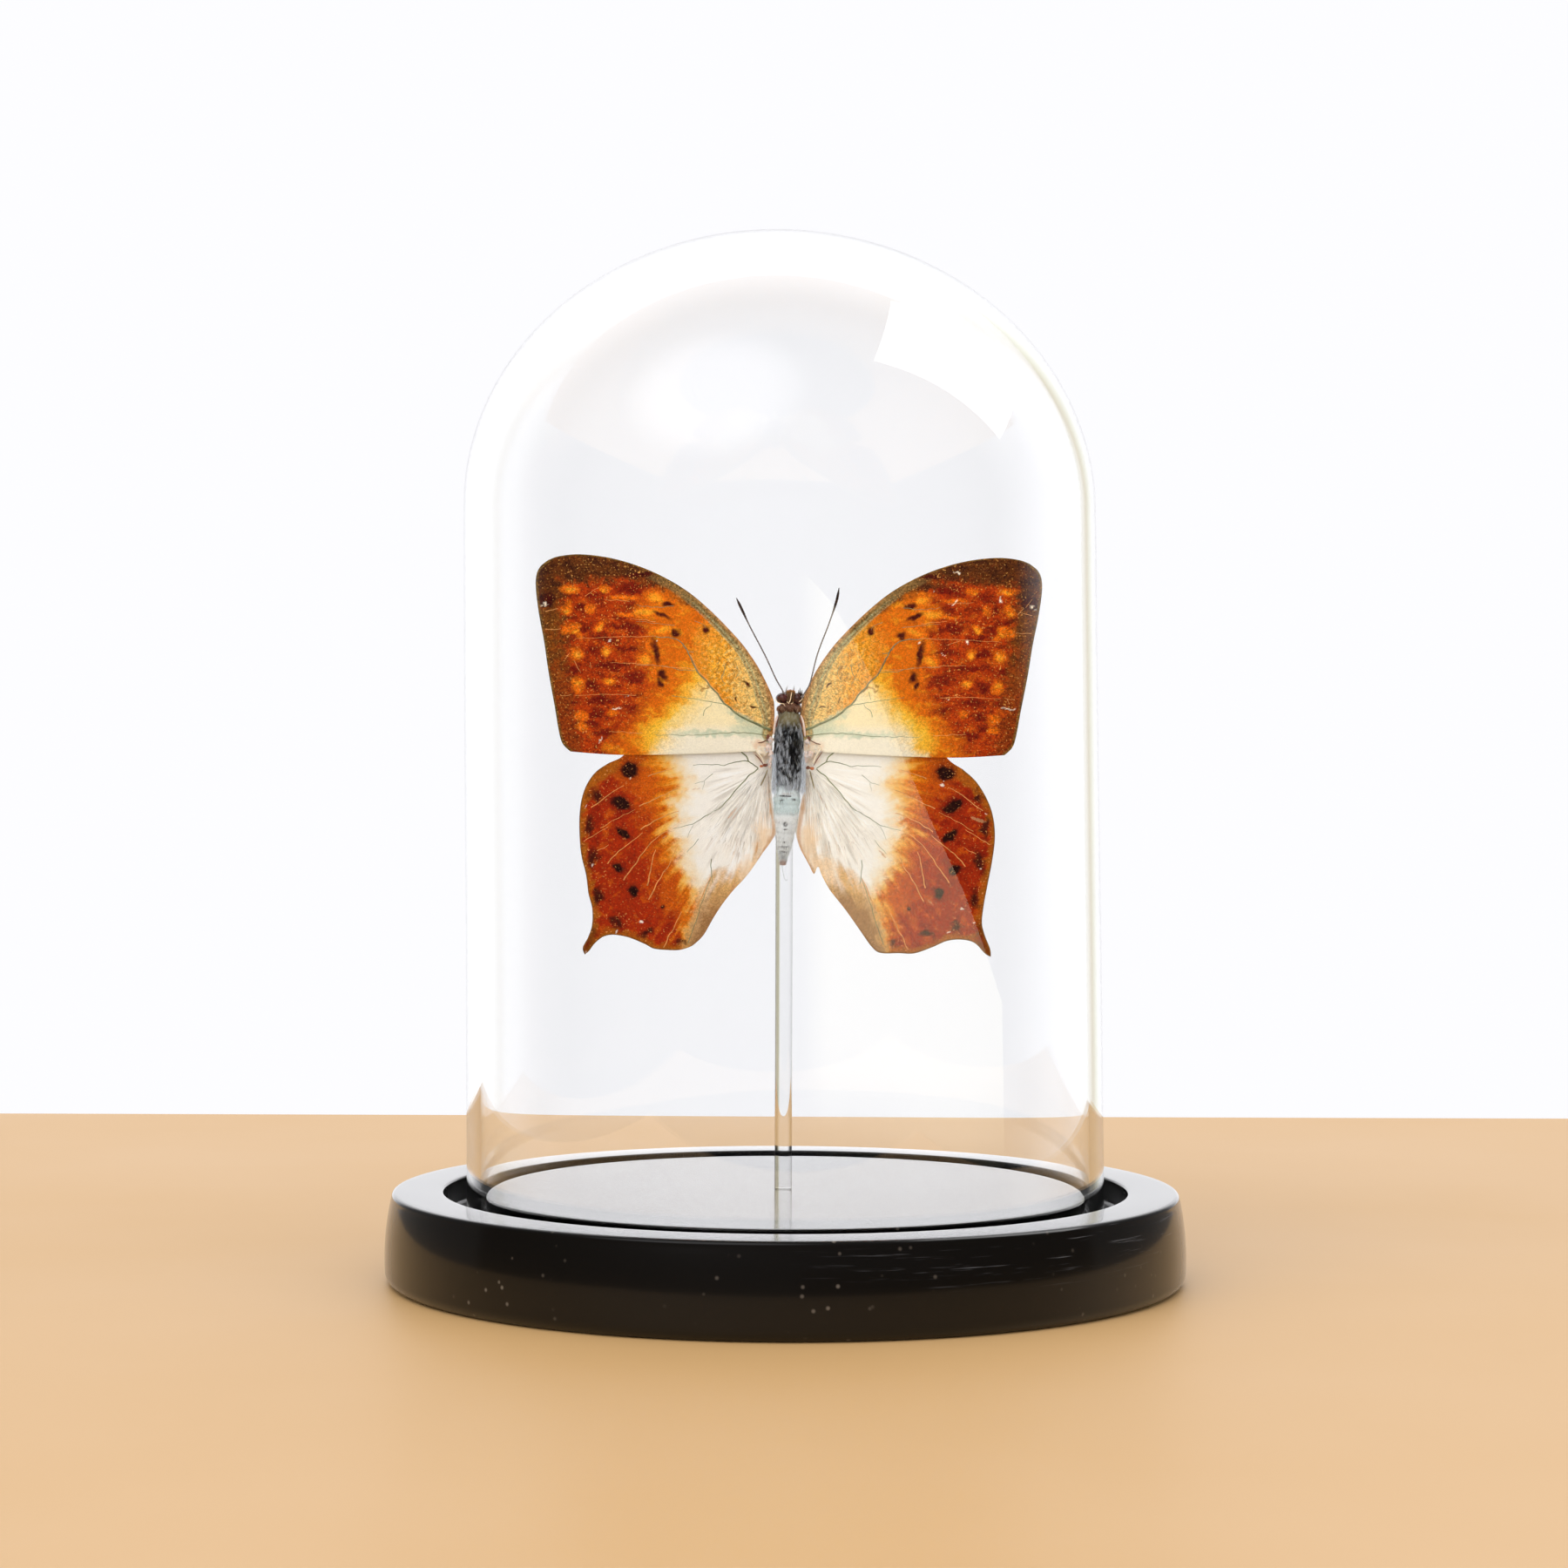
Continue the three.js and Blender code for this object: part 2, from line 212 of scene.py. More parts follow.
def grid_faces(rows, columns, closed=False):
    """Quads of a grid of points, row by row. A closed grid joins its last column to its first."""
    row, column = np.mgrid[0:rows - 1, 0:columns if closed else columns - 1]
    after = (column + 1) % columns
    corners = [row * columns + column, row * columns + after, (row + 1) * columns + after,
               (row + 1) * columns + column]
    return np.stack(corners, -1).reshape(-1, 4)


def turned(profile, segments, shift=lambda z: 0 * z, ripple=None):
    """Turns a profile of [radius, height] about Z, and caps its first and last rings."""
    profile = np.array(profile, float)
    angle = np.linspace(0, 2 * pi, segments, endpoint=False)
    radius = np.repeat(profile[:, :1], segments, 1)
    height = np.repeat(profile[:, 1:], segments, 1)
    if ripple:
        radius = radius * (1 + ripple(angle[None, :], height))
    x = radius * np.cos(angle) + shift(height)
    y = radius * np.sin(angle)
    ring = np.arange(segments)[None]
    faces = [grid_faces(len(profile), segments, True), ring[:, ::-1], ring + (len(profile) - 1) * segments]
    return np.stack([x, y, height], -1).reshape(-1, 3), faces


def arc(centre, radii, start, end, steps):
    """Points of an elliptical arc, with the angles in degrees."""
    angle = np.radians(np.linspace(start, end, steps + 1))
    return [[centre[0] + radii[0] * cos(a), centre[1] + radii[1] * sin(a)] for a in angle]


def limb_points(path, half_width, half_depth, share, angle, across=(1, 0, 0)):
    """Points on a limb along a curve, with the direction out of it and the one along it. The half sizes
    are functions of the share of its length. The angle runs from across, by the back, round."""
    steps = np.linspace(0, 1, 160)
    line = spline(path, steps)
    slope = np.gradient(line, axis=0)
    at = lambda rows: np.stack([np.interp(share, steps, rows[:, k]) for k in range(3)], -1)
    centre, forward = at(line), at(slope)
    forward /= np.linalg.norm(forward, axis=-1, keepdims=True)
    depth = np.cross(np.array(across, float), forward)
    depth /= np.linalg.norm(depth, axis=-1, keepdims=True)
    width = np.cross(forward, depth)
    wide, deep = half_width(share)[..., None], half_depth(share)[..., None]
    c, s = np.cos(angle)[..., None], np.sin(angle)[..., None]
    outward = width * c * deep - depth * s * wide
    outward /= np.linalg.norm(outward, axis=-1, keepdims=True)
    return centre + width * c * wide - depth * s * deep, outward, forward


def tube(path, half_width, half_depth, sides, across=(1, 0, 0), rings=40):
    """A closed limb along a curve: its points, faces, and the share of its length at each point."""
    share = np.repeat(np.linspace(0, 1, rings), sides)
    angle = np.tile(np.linspace(0, 2 * pi, sides, endpoint=False), rings)
    points, _, _ = limb_points(path, half_width, half_depth, share, angle, across)
    start, end = np.arange(sides)[None, ::-1], np.arange(sides)[None] + (rings - 1) * sides
    return points, [grid_faces(rings, sides, True), start, end], share


def ball(centre, radii, rows=20, columns=28):
    """An ellipsoid with its poles on its depth axis, which is Y."""
    polar = np.linspace(0.02, pi - 0.02, rows)[:, None]
    angle = np.linspace(0, 2 * pi, columns, endpoint=False)[None]
    points = np.stack([np.sin(polar) * np.cos(angle), np.cos(polar) + 0 * angle,
                       -np.sin(polar) * np.sin(angle)], -1).reshape(-1, 3)
    faces = grid_faces(rows, columns, True)[:, ::-1]
    caps = [np.arange(columns)[None], np.arange(columns)[None, ::-1] + (rows - 1) * columns]
    return points * radii + centre, [faces] + caps, points


def hairs(shell, roots, heading, length, width, bend, slot, rng, steps=3, **masks):
    """Adds flat tapered hairs. Each starts at a root, goes along its heading and bends by a vector."""
    count = len(roots)
    heading = heading / np.linalg.norm(heading, axis=1, keepdims=True)
    side = np.cross(heading, rng.normal(size=(count, 3)))
    side /= np.linalg.norm(side, axis=1, keepdims=True)
    share = np.linspace(0, 1, steps + 1)[None, :, None]
    middle = roots[:, None] + heading[:, None] * length[:, None, None] * share \
        + bend[:, None] * length[:, None, None] * share ** 2
    half = side[:, None] * (width[:, None, None] / 2) * (1 - 0.92 * share)
    points = np.stack([middle - half, middle + half], 2).reshape(-1, 3)
    base = np.arange(count)[:, None] * (2 * (steps + 1)) + 2 * np.arange(steps)[None]
    quads = np.stack([base, base + 1, base + 3, base + 2], -1).reshape(-1, 4)
    spread = {key: np.repeat(value, 2 * (steps + 1)) for key, value in masks.items()}
    spread["along"] = np.tile(np.repeat(np.linspace(0, 1, steps + 1), 2), count)
    shell.add(points, [quads], slot, **spread)


# ---------------------------------------------------------------- sizes and colours

_, base_high = (Vector(c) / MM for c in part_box("base"))
dome_low, dome_high = (Vector(c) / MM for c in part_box("dome"))
rod_low, rod_high = (Vector(c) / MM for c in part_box("rod"))
bead_low, bead_high = (Vector(c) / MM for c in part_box("glue_bead"))

BUTTERFLY = Matrix.Translation(Vector((0.44, -6.0, 83.1)) * MM) @ Matrix.Rotation(0.0052, 4, "Y")
WING_SHIFT = -0.37      # the wings' middle line lies a little to the left of the body's
WING_SPACING = 0.8
DIHEDRAL = 0.035


def colour_property(name, description, code):
    return bpy.props.FloatVectorProperty(name=name, description=description, default=linear(code), size=3,
                                         min=0, max=1, subtype="COLOR")


def length_property(name, description, default, low=0.0):
    return bpy.props.FloatProperty(name=name, description=description, default=default, min=low,
                                   subtype="DISTANCE", unit="LENGTH")


def count_property(name, description, default):
    return bpy.props.IntProperty(name=name, description=description, default=default, min=0)


class StageSettings(bpy.types.PropertyGroup):
    """The table and the room around it."""
    table_size: length_property("Table size", "Width and depth of the tabletop", 0.506, 0.2)
    table: colour_property("Table", "Colour of the pale painted tabletop", "#c69e68")
    room: colour_property("Room", "Colour of the room's light", "#fcfcff")


class CaseSettings(bpy.types.PropertyGroup):
    """The base, the dome and the rod."""
    groove_outer: length_property("Groove outside", "Outer radius of the dome's groove", 53.6 * MM)
    groove_inner: length_property("Groove inside", "Inner radius of the dome's groove", 47.0 * MM)
    groove_depth: length_property("Groove depth", "Depth of the dome's groove", 4.0 * MM)
    dome_wall: length_property("Dome wall", "Thickness of the blown glass", 2.2 * MM)
    lacquer: colour_property("Lacquer", "Colour of the base's lacquer", "#0a0806")
    glass: colour_property("Glass", "Tint of light that has crossed thick glass", "#dfe9e6")


class WingSettings(bpy.types.PropertyGroup):
    """The wings' thickness and main colours."""
    thickness: length_property("Thickness", "Thickness of a wing in its middle", 0.12 * MM)
    cream: colour_property("Cream", "Scales of the hindwing's pale field", "#fbf6ea")
    orange: colour_property("Orange", "Scales of the forewing's middle field", "#dd6c08")
    red: colour_property("Red-brown", "Scales of the hindwing's outer field", "#aa2c04")
    margin: colour_property("Margin", "Scales of the forewing's dark margin", "#7c4410")


class BodySettings(bpy.types.PropertyGroup):
    """The body's fur and hard skin."""
    thorax_hairs: count_property("Thorax hairs", "Number of modelled hairs on the thorax", 8000)
    abdomen_hairs: count_property("Abdomen hairs", "Number of modelled hairs on the abdomen", 4000)
    dark_fur: colour_property("Dark fur", "Colour of the thorax's fur", "#0d0d14")
    pale_fur: colour_property("Pale fur", "Colour of the abdomen's fur", "#eff3f1")
    chitin: colour_property("Hard skin", "Colour of the antennae's clubs", "#3b241a")


# ---------------------------------------------------------------- the stage

class INSECT_OT_stage(bpy.types.Operator):
    """Makes the camera, the room's light and the table"""
    bl_idname = "insect.stage"
    bl_label = "Stage"

    CAMERA_PLACE = Vector((-0.45, -519.15, 77.66))  # it looks level, from about half the dome's height
    CAMERA_ROLL = -0.0033
    CAMERA_LENS = 75.65

    # A soft bright window, up and to the left of the camera. Its glow fades between two angles.
    WINDOW = Vector((-0.35, -0.60, 0.72)).normalized()
    WINDOW_EDGE = [cos(radians(angle)) for angle in (33, 13)]

    # Dim olive and brown things stand to the right, as [how far to the right, colour].
    BESIDE = [(0.34, "#ecece4"), (0.42, "#d6d4c0"), (0.5, "#bfb398"), (0.6, "#d2cfb8"), (0.8, "#c6c1a8"),
              (0.87, "#9a7862"), (0.96, "#634436")]

    # A skylight over the right side shows as the hard white patch on the dome's shoulder.
    SKYLIGHT = [(260, 175), (326, -259), (1544, -8), (1025, 361), (668, 430), (419, 293)]
    SKYLIGHT_HEIGHT = 740

    # A pale partition low on the right veils the right hindwing. Each corner is [heading round from the
    # camera's side, height] in degrees, seen from the dome.
    PARTITION = [
        (4, 5.6), (18, 4.6), (25, 3.8), (30.2, 3.2), (34, 2.7), (38.1, 2.0), (43.2, 1.3), (49.4, 0.6),
        (56.1, -0.2), (64.8, -1.3), (73.3, -2.6), (82, -3.9), (82, -12), (43, -12), (25, -12), (4, -12)]
    PARTITION_REACH = 1500
    PARTITION_FADE = 430

    def execute(self, context):
        settings = context.scene.dome_stage
        self.make_camera(context)
        self.make_room(context, settings)
        self.panel("Skylight", [(x, y, self.SKYLIGHT_HEIGHT) for x, y in self.SKYLIGHT], 4.0)
        corners, reach = [], self.PARTITION_REACH
        for turn, height in np.radians(self.PARTITION):
            corners.append((reach * sin(turn), -reach * cos(turn), 70 + reach * tan(height)))
        self.panel("Partition", corners, 2.1, (1.0, 0.93, 0.66, 1), self.PARTITION_FADE)
        self.make_table(settings)
        context.scene.view_settings.view_transform = "Standard"
        return {"FINISHED"}

    def make_camera(self, context):
        lens = bpy.data.cameras.new("Camera")
        lens.sensor_width = 36
        lens.lens = self.CAMERA_LENS
        camera = bpy.data.objects.new("Camera", lens)
        level = Euler((radians(90), 0, 0)).to_matrix().to_4x4()
        turn = Matrix.Rotation(self.CAMERA_ROLL, 4, "Y") @ level
        camera.matrix_world = Matrix.Translation(self.CAMERA_PLACE * MM) @ turn
        context.scene.collection.objects.link(camera)
        context.scene.camera = camera

    def make_room(self, context, settings):
        """A pale room with a white wall behind. The room in front is lit from above, and stays dark where
        the glass and the lacquer mirror it."""
        world = bpy.data.worlds.new("Room")
        add = emptied(world)
        smooth = {"interpolation_type": "SMOOTHSTEP"}
        heading = add("TexCoord").outputs["Generated"]
        parts = add("SeparateXYZ", [heading])
        across, away = parts.outputs["X"], parts.outputs["Y"]
        path = add("LightPath")
        crossed = path.outputs["Transmission Depth"]
        front = add("MapRange", [away, 0.5, -0.7, 1.01, 1.92], **smooth)
        aside = add("Math", [across], operation="ABSOLUTE")
        sides = add("MapRange", [aside, 0.35, 1.0, 1.0, 0.7], **smooth)
        even = add("Math", [front, sides], **TIMES)
        window = add("VectorMath", [heading, self.WINDOW], operation="DOT_PRODUCT")
        glow = add("MapRange", [window, *self.WINDOW_EDGE, 0.0, 1.6], **smooth)
        mirrored = add("Math", [path.outputs["Glossy Depth"], 0.5], operation="GREATER_THAN")
        direct = add("Math", [path.outputs["Diffuse Depth"], 0.5], operation="LESS_THAN")
        mirror = add("Math", [mirrored, direct], **TIMES)
        dark = add("MapRange", [away, 0.45, 0.05, 0.0, 0.985], **smooth)
        # Only the lacquer's blurred reflections find the room's brown sides.
        blurred = add("Math", [1.0, path.outputs["Is Singular Ray"]], operation="SUBTRACT")
        flank = add("MapRange", [aside, 0.3, 0.62, 0.0, 0.9], **smooth)
        flank = add("Math", [flank, blurred], **TIMES)
        dark = add("Math", [dark, flank], operation="MAXIMUM")
        share = add("Math", [dark, mirror], **TIMES)
        kept = add("Math", [1.0, share], operation="SUBTRACT")
        dimmed = add("Math", [even, kept], **TIMES)
        softer = add("Math", [mirror, -0.45, 1.0], operation="MULTIPLY_ADD")
        level = add("Math", [glow, softer, dimmed], operation="MULTIPLY_ADD")
        # What stands beside shows in the dome's edge, which bends light in from a little way round, and in
        # the rod, which is the sixth surface or more that a ray crosses.
        beside = add("ValToRGB", [across])
        room = (*settings.room, 1)
        stops = [(0.0, room), (0.28, room)] + [(where, (*linear(paint), 1)) for where, paint in self.BESIDE]
        ramp = beside.color_ramp.elements
        while len(ramp) < len(stops):
            ramp.new(1.0)
        for element, (where, paint) in zip(ramp, stops):
            element.position, element.color = where, paint
        bends = add("Math", [crossed, 0.5], operation="GREATER_THAN")
        through = add("Math", [bends, direct], **TIMES)
        rod = add("Math", [crossed, 5.5], operation="GREATER_THAN")
        close = add("MapRange", [across, 0.48, 0.62, 1.0, 0.0])
        edges = add("Math", [rod, close], operation="MAXIMUM")
        murky = add("Math", [through, edges], **TIMES)
        tint = add("Mix", {0: murky, 6: room, 7: beside}, **PAINT)
        lift = add("Math", [through, 0.08, 1.0], operation="MULTIPLY_ADD")
        level = add("Math", [level, lift], **TIMES)
        # The wall is brighter than white, as the lacquer's reflections show.
        rough = add("Math", [blurred, mirror], **TIMES)
        inside = add("Math", [through, mirror], **TIMES)
        shine = add("Math", [rough, 0.3, 1.0], operation="MULTIPLY_ADD")
        shine = add("Math", [inside, 0.3, shine], operation="MULTIPLY_ADD")
        level = add("Math", [level, shine], **TIMES)
        light = add("Background", [tint, level])
        add("OutputWorld", [light])
        context.scene.world = world

    def panel(self, name, corners, strength, colour=(1, 1, 1, 1), fade=0):
        """A bright shape that only shows mirrored. It can fade out towards the middle and the floor."""
        mesh = bpy.data.meshes.new(name)
        mesh.from_pydata([Vector(corner) * MM for corner in corners], [], [range(len(corners))])
        material, add = new_material(name)
        if fade:
            parts = add("SeparateXYZ", [add("TexCoord").outputs["Object"]])
            span = [0.25 * fade * MM - 0.001, fade * MM, 0.0, strength]
            level = add("MapRange", [parts.outputs["X"], *span], interpolation_type="SMOOTHSTEP")
            below = add("MapRange", [parts.outputs["Z"], -0.13, -0.05], interpolation_type="SMOOTHSTEP")
            level = add("Math", [level, below], **TIMES)
            strength = add("Math", [level, add("LightPath").outputs["Is Singular Ray"]], **TIMES)
        add("OutputMaterial", [add("Emission", [colour, strength])])
        mesh.materials.append(material)
        light = bpy.data.objects.new(name, mesh)
        light.visible_camera = light.visible_diffuse = light.visible_transmission = False
        light.visible_shadow = False
        bpy.context.scene.collection.objects.link(light)
        light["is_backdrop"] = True

    def make_table(self, settings):
        half, thick = settings.table_size / 2, 0.018
        mesh = bpy.data.meshes.new("Tabletop")
        corners = ((-half, -half), (half, -half), (half, half), (-half, half))
        sides = [(0, 1, 5, 4), (1, 2, 6, 5), (2, 3, 7, 6), (3, 0, 4, 7)]
        mesh.from_pydata([(x, y, z) for z in (-thick, 0) for x, y in corners], [],
                         [(3, 2, 1, 0), (4, 5, 6, 7)] + sides)
        table = bpy.data.objects.new("Tabletop", mesh)
        bevel = table.modifiers.new("Eased edge", "BEVEL")
        bevel.width, bevel.segments = 0.0015, 3
        # Satin paint, rolled on board: a fine stipple and slow changes in gloss.
        material, add = new_material("satin_paint_rolled")
        place = add("TexCoord").outputs["Object"]
        stipple = add("TexNoise", {"Vector": place, "Scale": 900.0, "Detail": 2.0})
        cloud = add("TexNoise", {"Vector": place, "Scale": 9.0, "Detail": 3.0})
        gloss = add("MapRange", [cloud, 0.0, 1.0, 0.42, 0.6])
        bump = add("Bump", {"Height": stipple, "Strength": 0.08, "Distance": 0.0001})
        paint = add("BsdfPrincipled", {"Base Color": settings.table, "Roughness": gloss, "Normal": bump})
        add("OutputMaterial", [paint])
        mesh.materials.append(material)
        bpy.context.scene.collection.objects.link(table)
        table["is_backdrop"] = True


# ---------------------------------------------------------------- base, dome and rod

class INSECT_OT_base(bpy.types.Operator):
    """Turns the base and gives it its lacquer"""
    bl_idname = "insect.base"
    bl_label = "Base"

    def execute(self, context):
        case = context.scene.dome_case
        top = base_high.z
        side = lambda height: base_high.x - 0.0125 * (height - 4.2) ** 2
        outer, inner = case.groove_outer / MM, case.groove_inner / MM
        floor = top - case.groove_depth / MM
        plateau = top - 0.2
        foot, rim = 2.0, 0.7
        profile = [[0.1, 0], [30, 0], [54, 0], [58, 0]]
        profile += arc([side(foot) - foot, foot], [foot, foot], -90, 0, 10)
        profile += [[side(h), h] for h in np.linspace(foot + 0.6, top - rim - 0.6, 14)]
        profile += arc([side(top - rim) - rim, top - rim], [rim, rim], 0, 90, 8)
        crown = lambda r: top + 0.03 * sin(pi * (r - outer) / 7)
        profile += [[r, crown(r)] for r in np.linspace(59.8, outer + 1.2, 10)]
        profile += arc([outer + 0.35, top - 0.35], [0.35, 0.35], 90, 180, 6)
        profile += [[outer, h] for h in np.linspace(top - 1.0, floor + 0.8, 4)]
        profile += arc([outer - 0.5, floor + 0.5], [0.5, 0.5], 0, -90, 5)
        profile += [[50.3, floor]] + arc([inner + 0.5, floor + 0.5], [0.5, 0.5], -90, -180, 5)
        profile += [[inner, h] for h in np.linspace(floor + 0.8, plateau - 1.0, 4)]
        profile += arc([inner - 0.35, plateau - 0.35], [0.35, 0.35], 0, 90, 6)
        profile += [[r, plateau] for r in np.linspace(inner - 1.5, 0.1, 24)]
        shell = Shell()
        shell.add(*turned(profile, 192))
        shell.build("Base", [self.lacquer(case)], ["base"])
        return {"FINISHED"}

    def lacquer(self, case):
        """Beech turned on a lathe and sprayed with satin black lacquer. The film is thick enough to hide the
        grain but not the faint turning lines, and it has collected dust and hairline scratches. The scratches
        carry a painted sheen on the upper right of the side."""
        material, add = new_material("beech_turned_black_lacquer")
        place = add("TexCoord").outputs["Object"]
        parts = add("SeparateXYZ", [place])
        flat = add("CombineXYZ", [parts.outputs["X"], parts.outputs["Y"]])
        radius = add("VectorMath", [flat], operation="LENGTH")
        # Turning lines, 0.35 mm apart on average.
        line = add("TexNoise", {"W": radius, "Scale": 2800.0, "Detail": 2.0}, noise_dimensions="1D")
        cloud = add("TexNoise", {"Vector": place, "Scale": 60.0, "Detail": 4.0})
        speck = add("TexVoronoi", {"Vector": place, "Scale": 420.0, "Randomness": 1.0})
        dust = add("MapRange", [speck, 0.16, 0.05])
        rare = add("MapRange", [cloud, 0.5, 0.68])
        specks = add("Math", [dust, rare], **TIMES)
        colour = add("Mix", {0: specks, 6: case.lacquer, 7: "#5d554c"}, **PAINT)
        # Pale hairlines run round the upper part of the side, mostly on the right. They are hairline
        # scratches with a painted sheen: their pale grey stands in for the light that the upper right of the
        # side reflects.
        rubbed = add("VectorMath", [place, (70, 70, 2600)], **TIMES)
        hairline = add("TexNoise", {"Vector": rubbed, "Scale": 1.0, "Detail": 3.0, "Roughness": 0.7})
        worn = add("MapRange", [parts.outputs["X"], 0.0, 0.03])
        for limit in (add("MapRange", [parts.outputs["Z"], 0.006, 0.0095]),
                      add("Math", [radius, 0.0612], operation="GREATER_THAN"),
                      add("MapRange", [hairline, 0.6, 0.72, 0.0, 0.5])):
            worn = add("Math", [worn, limit], **TIMES)
        colour = add("Mix", {0: worn, 6: colour, 7: "#6e7074"}, **PAINT)
        gloss = add("MapRange", [cloud, 0.3, 0.7, 0.3, 0.34])
        bump = add("Bump", {"Height": line, "Strength": 0.06, "Distance": 0.00002})
        paint = add("BsdfPrincipled", {"Base Color": colour, "Roughness": gloss, "Normal": bump, "IOR": 1.22,
                    "Coat Weight": 1.0, "Coat Roughness": 0.1, "Coat IOR": 1.34})
        add("OutputMaterial", [paint])
        return material


def glass(name, tint, roughness, density, ior):
    """Clear glass or glue: it shows only by what it bends, reflects and, where thick, absorbs."""
    material, add = new_material(name)
    clear = add("BsdfPrincipled", {"Base Color": (1, 1, 1, 1), "Roughness": roughness, "IOR": ior,
                "Transmission Weight": 1.0})
    depth = add("VolumeAbsorption", {"Color": (*tint, 1), "Density": density})
    add("OutputMaterial", [clear, depth])
    return material


class INSECT_OT_dome(bpy.types.Operator):
    """Blows the glass dome"""
    bl_idname = "insect.dome"
    bl_label = "Dome"

    def execute(self, context):
        case = context.scene.dome_case
        wall = case.dome_wall / MM
        rim, radius, lean = wall / 2, 50.0, -0.0115
        shoulder, cap_start = radius - 0.4, 120.7
        rise = dome_high.z - cap_start
        rim_height = dome_low.z + rim
        straight = np.linspace(rim_height + 0.5, cap_start - 4, 30)
        taper = lambda z: radius - 0.4 * (z - rim_height) / (cap_start - rim_height)
        profile = arc([0, cap_start], [shoulder - wall, rise - wall], 89.9, 0, 48)
        profile += [[taper(z) - wall, z] for z in straight[::-1]]
        profile += arc([radius - rim, rim_height], [rim, rim], -180, 0, 10)
        profile += [[taper(z), z] for z in straight]
        profile += arc([0, cap_start], [shoulder, rise], 0, 89.9, 48)
        # Blown glass is never quite even: slow ripples of a few hundredths of a millimetre.
        ripple = lambda angle, z: 0.0006 * np.sin(3 * angle + z / 23) + 0.0004 * np.sin(5 * angle - z / 11)
        shell = Shell()
        shell.add(*turned(profile, 224, lambda z: lean * (z - rim_height), ripple))
        finish = glass("soda_lime_glass_blown", case.glass, 0.0, 6.0, 1.5)
        shell.build("Dome", [finish], ["dome"])
        return {"FINISHED"}


class INSECT_OT_rod(bpy.types.Operator):
    """Draws the rod and sets the bead of glue over its end"""
    bl_idname = "insect.rod"
    bl_label = "Rod and glue"

    def execute(self, context):
        case = context.scene.dome_case
        radius = (rod_high.x - rod_low.x) / 2
        middle = (rod_high.x + rod_low.x) / 2
        foot, top = rod_low.z, rod_high.z
        profile = [[0.05, foot - 0.28]] + arc([radius - 0.12, foot - 0.16], [0.12, 0.12], -90, 0, 4)
        profile += [[radius, z] for z in np.linspace(foot, top - radius, 40)]
        profile += arc([0, top - radius], [radius, radius], 0, 89, 12)
        shell = Shell()
        shell.add(*turned(profile, 64, lambda z: middle + 0 * z,
                          lambda angle, z: 0.004 * np.sin(z / 9) + 0.003 * np.sin(2 * angle + z / 31)))
        finish = glass("borosilicate_rod_drawn", case.glass, 0.0, 12.0, 1.47)
        shell.build("Rod", [finish], ["rod"])
        # The glue sagged a little before it set, so the bead has a soft skirt under it.
        low, high = bead_low.z, bead_high.z
        reach = (bead_high.x - bead_low.x) / 2
        bore = radius + 0.02
        profile = [[bore, z] for z in np.linspace(low, top - radius, 14)]
        profile = arc([0, top - radius], [bore, bore], 89, 0, 10) + profile[::-1]
        profile += [[bore + (reach - bore) * s ** 0.6, low + 1.9 * s] for s in np.linspace(0.08, 1, 8)]
        profile += arc([0, high - reach], [reach, reach], 0, 89, 16)
        shell = Shell()
        shell.add(*turned(profile, 64, lambda z: middle + 0 * z,
                          lambda angle, z: 0.03 * np.sin(2 * angle + z) * smoothstep(z, low + 0.4, low + 2)))
        finish = glass("clear_glue_set", linear("#e9e2c6"), 0.06, 60.0, 1.46)
        shell.build("Glue_bead", [finish], ["glue_bead"])
        return {"FINISHED"}


# ---------------------------------------------------------------- wings

# Outlines and marks are [outward, up] in millimetres, from the point where the wings meet the body.
FOREWING = {
    "lead": [(2.6, 7.3), (3.9, 11.3), (6.5, 15.4), (9.3, 18.6), (12.7, 21.9), (16.1, 24.6), (20.2, 26.9),
             (24.3, 28.5), (28.3, 29.5), (32.4, 29.9), (35.5, 29.6), (37.2, 29.0)],
    "outer": [(37.2, 29.0), (38.5, 27.9), (39.1, 26.4), (39.1, 24.2), (38.6, 20.6), (37.8, 16.4),
              (37.1, 11.8), (36.1, 6.4), (35.4, 2.4), (34.8, 0.5), (33.6, -0.7)],
    "trail": [(3.0, -0.3), (14.4, -0.9), (25.7, -1.15), (33.6, -0.7)],
    "root": [(2.6, 7.3), (2.5, 5.5), (2.6, 3.7), (2.9, 1.7), (3.0, -0.3)],
}
HINDWING_LEFT = {
    "lead": [(2.8, 0.8), (8.1, 2.3), (14.1, 2.9), (19.6, 2.2), (23.2, 0.6), (25.6, -1.4), (27.7, -2.4)],
    "outer": [(27.7, -2.4), (29.7, -3.8), (31.1, -5.8), (31.9, -8.2), (32.2, -11.1), (32.1, -14.5),
              (31.8, -17.0), (31.1, -19.8), (30.7, -22.7), (30.1, -25.0), (30.1, -27.6), (30.7, -29.5),
              (31.5, -31.1), (31.2, -32.2)],
    "trail": [(2.0, -12.8), (2.4, -13.8), (3.1, -15.2), (4.3, -17.1), (5.6, -19.0), (6.8, -20.5),
              (8.2, -22.0), (9.9, -24.2), (11.3, -26.4), (12.7, -28.9), (13.9, -30.2), (14.9, -30.9),
              (16.6, -31.4), (18.5, -31.4), (20.5, -31.2), (21.9, -30.5), (24.1, -29.6), (25.8, -29.2),
              (27.2, -29.1), (28.5, -29.5), (29.7, -30.5), (30.5, -31.6), (31.2, -32.2)],
    "root": [(2.8, 0.8), (2.8, -3.0), (2.9, -6.0), (2.5, -9.5), (2.0, -12.8)],
}
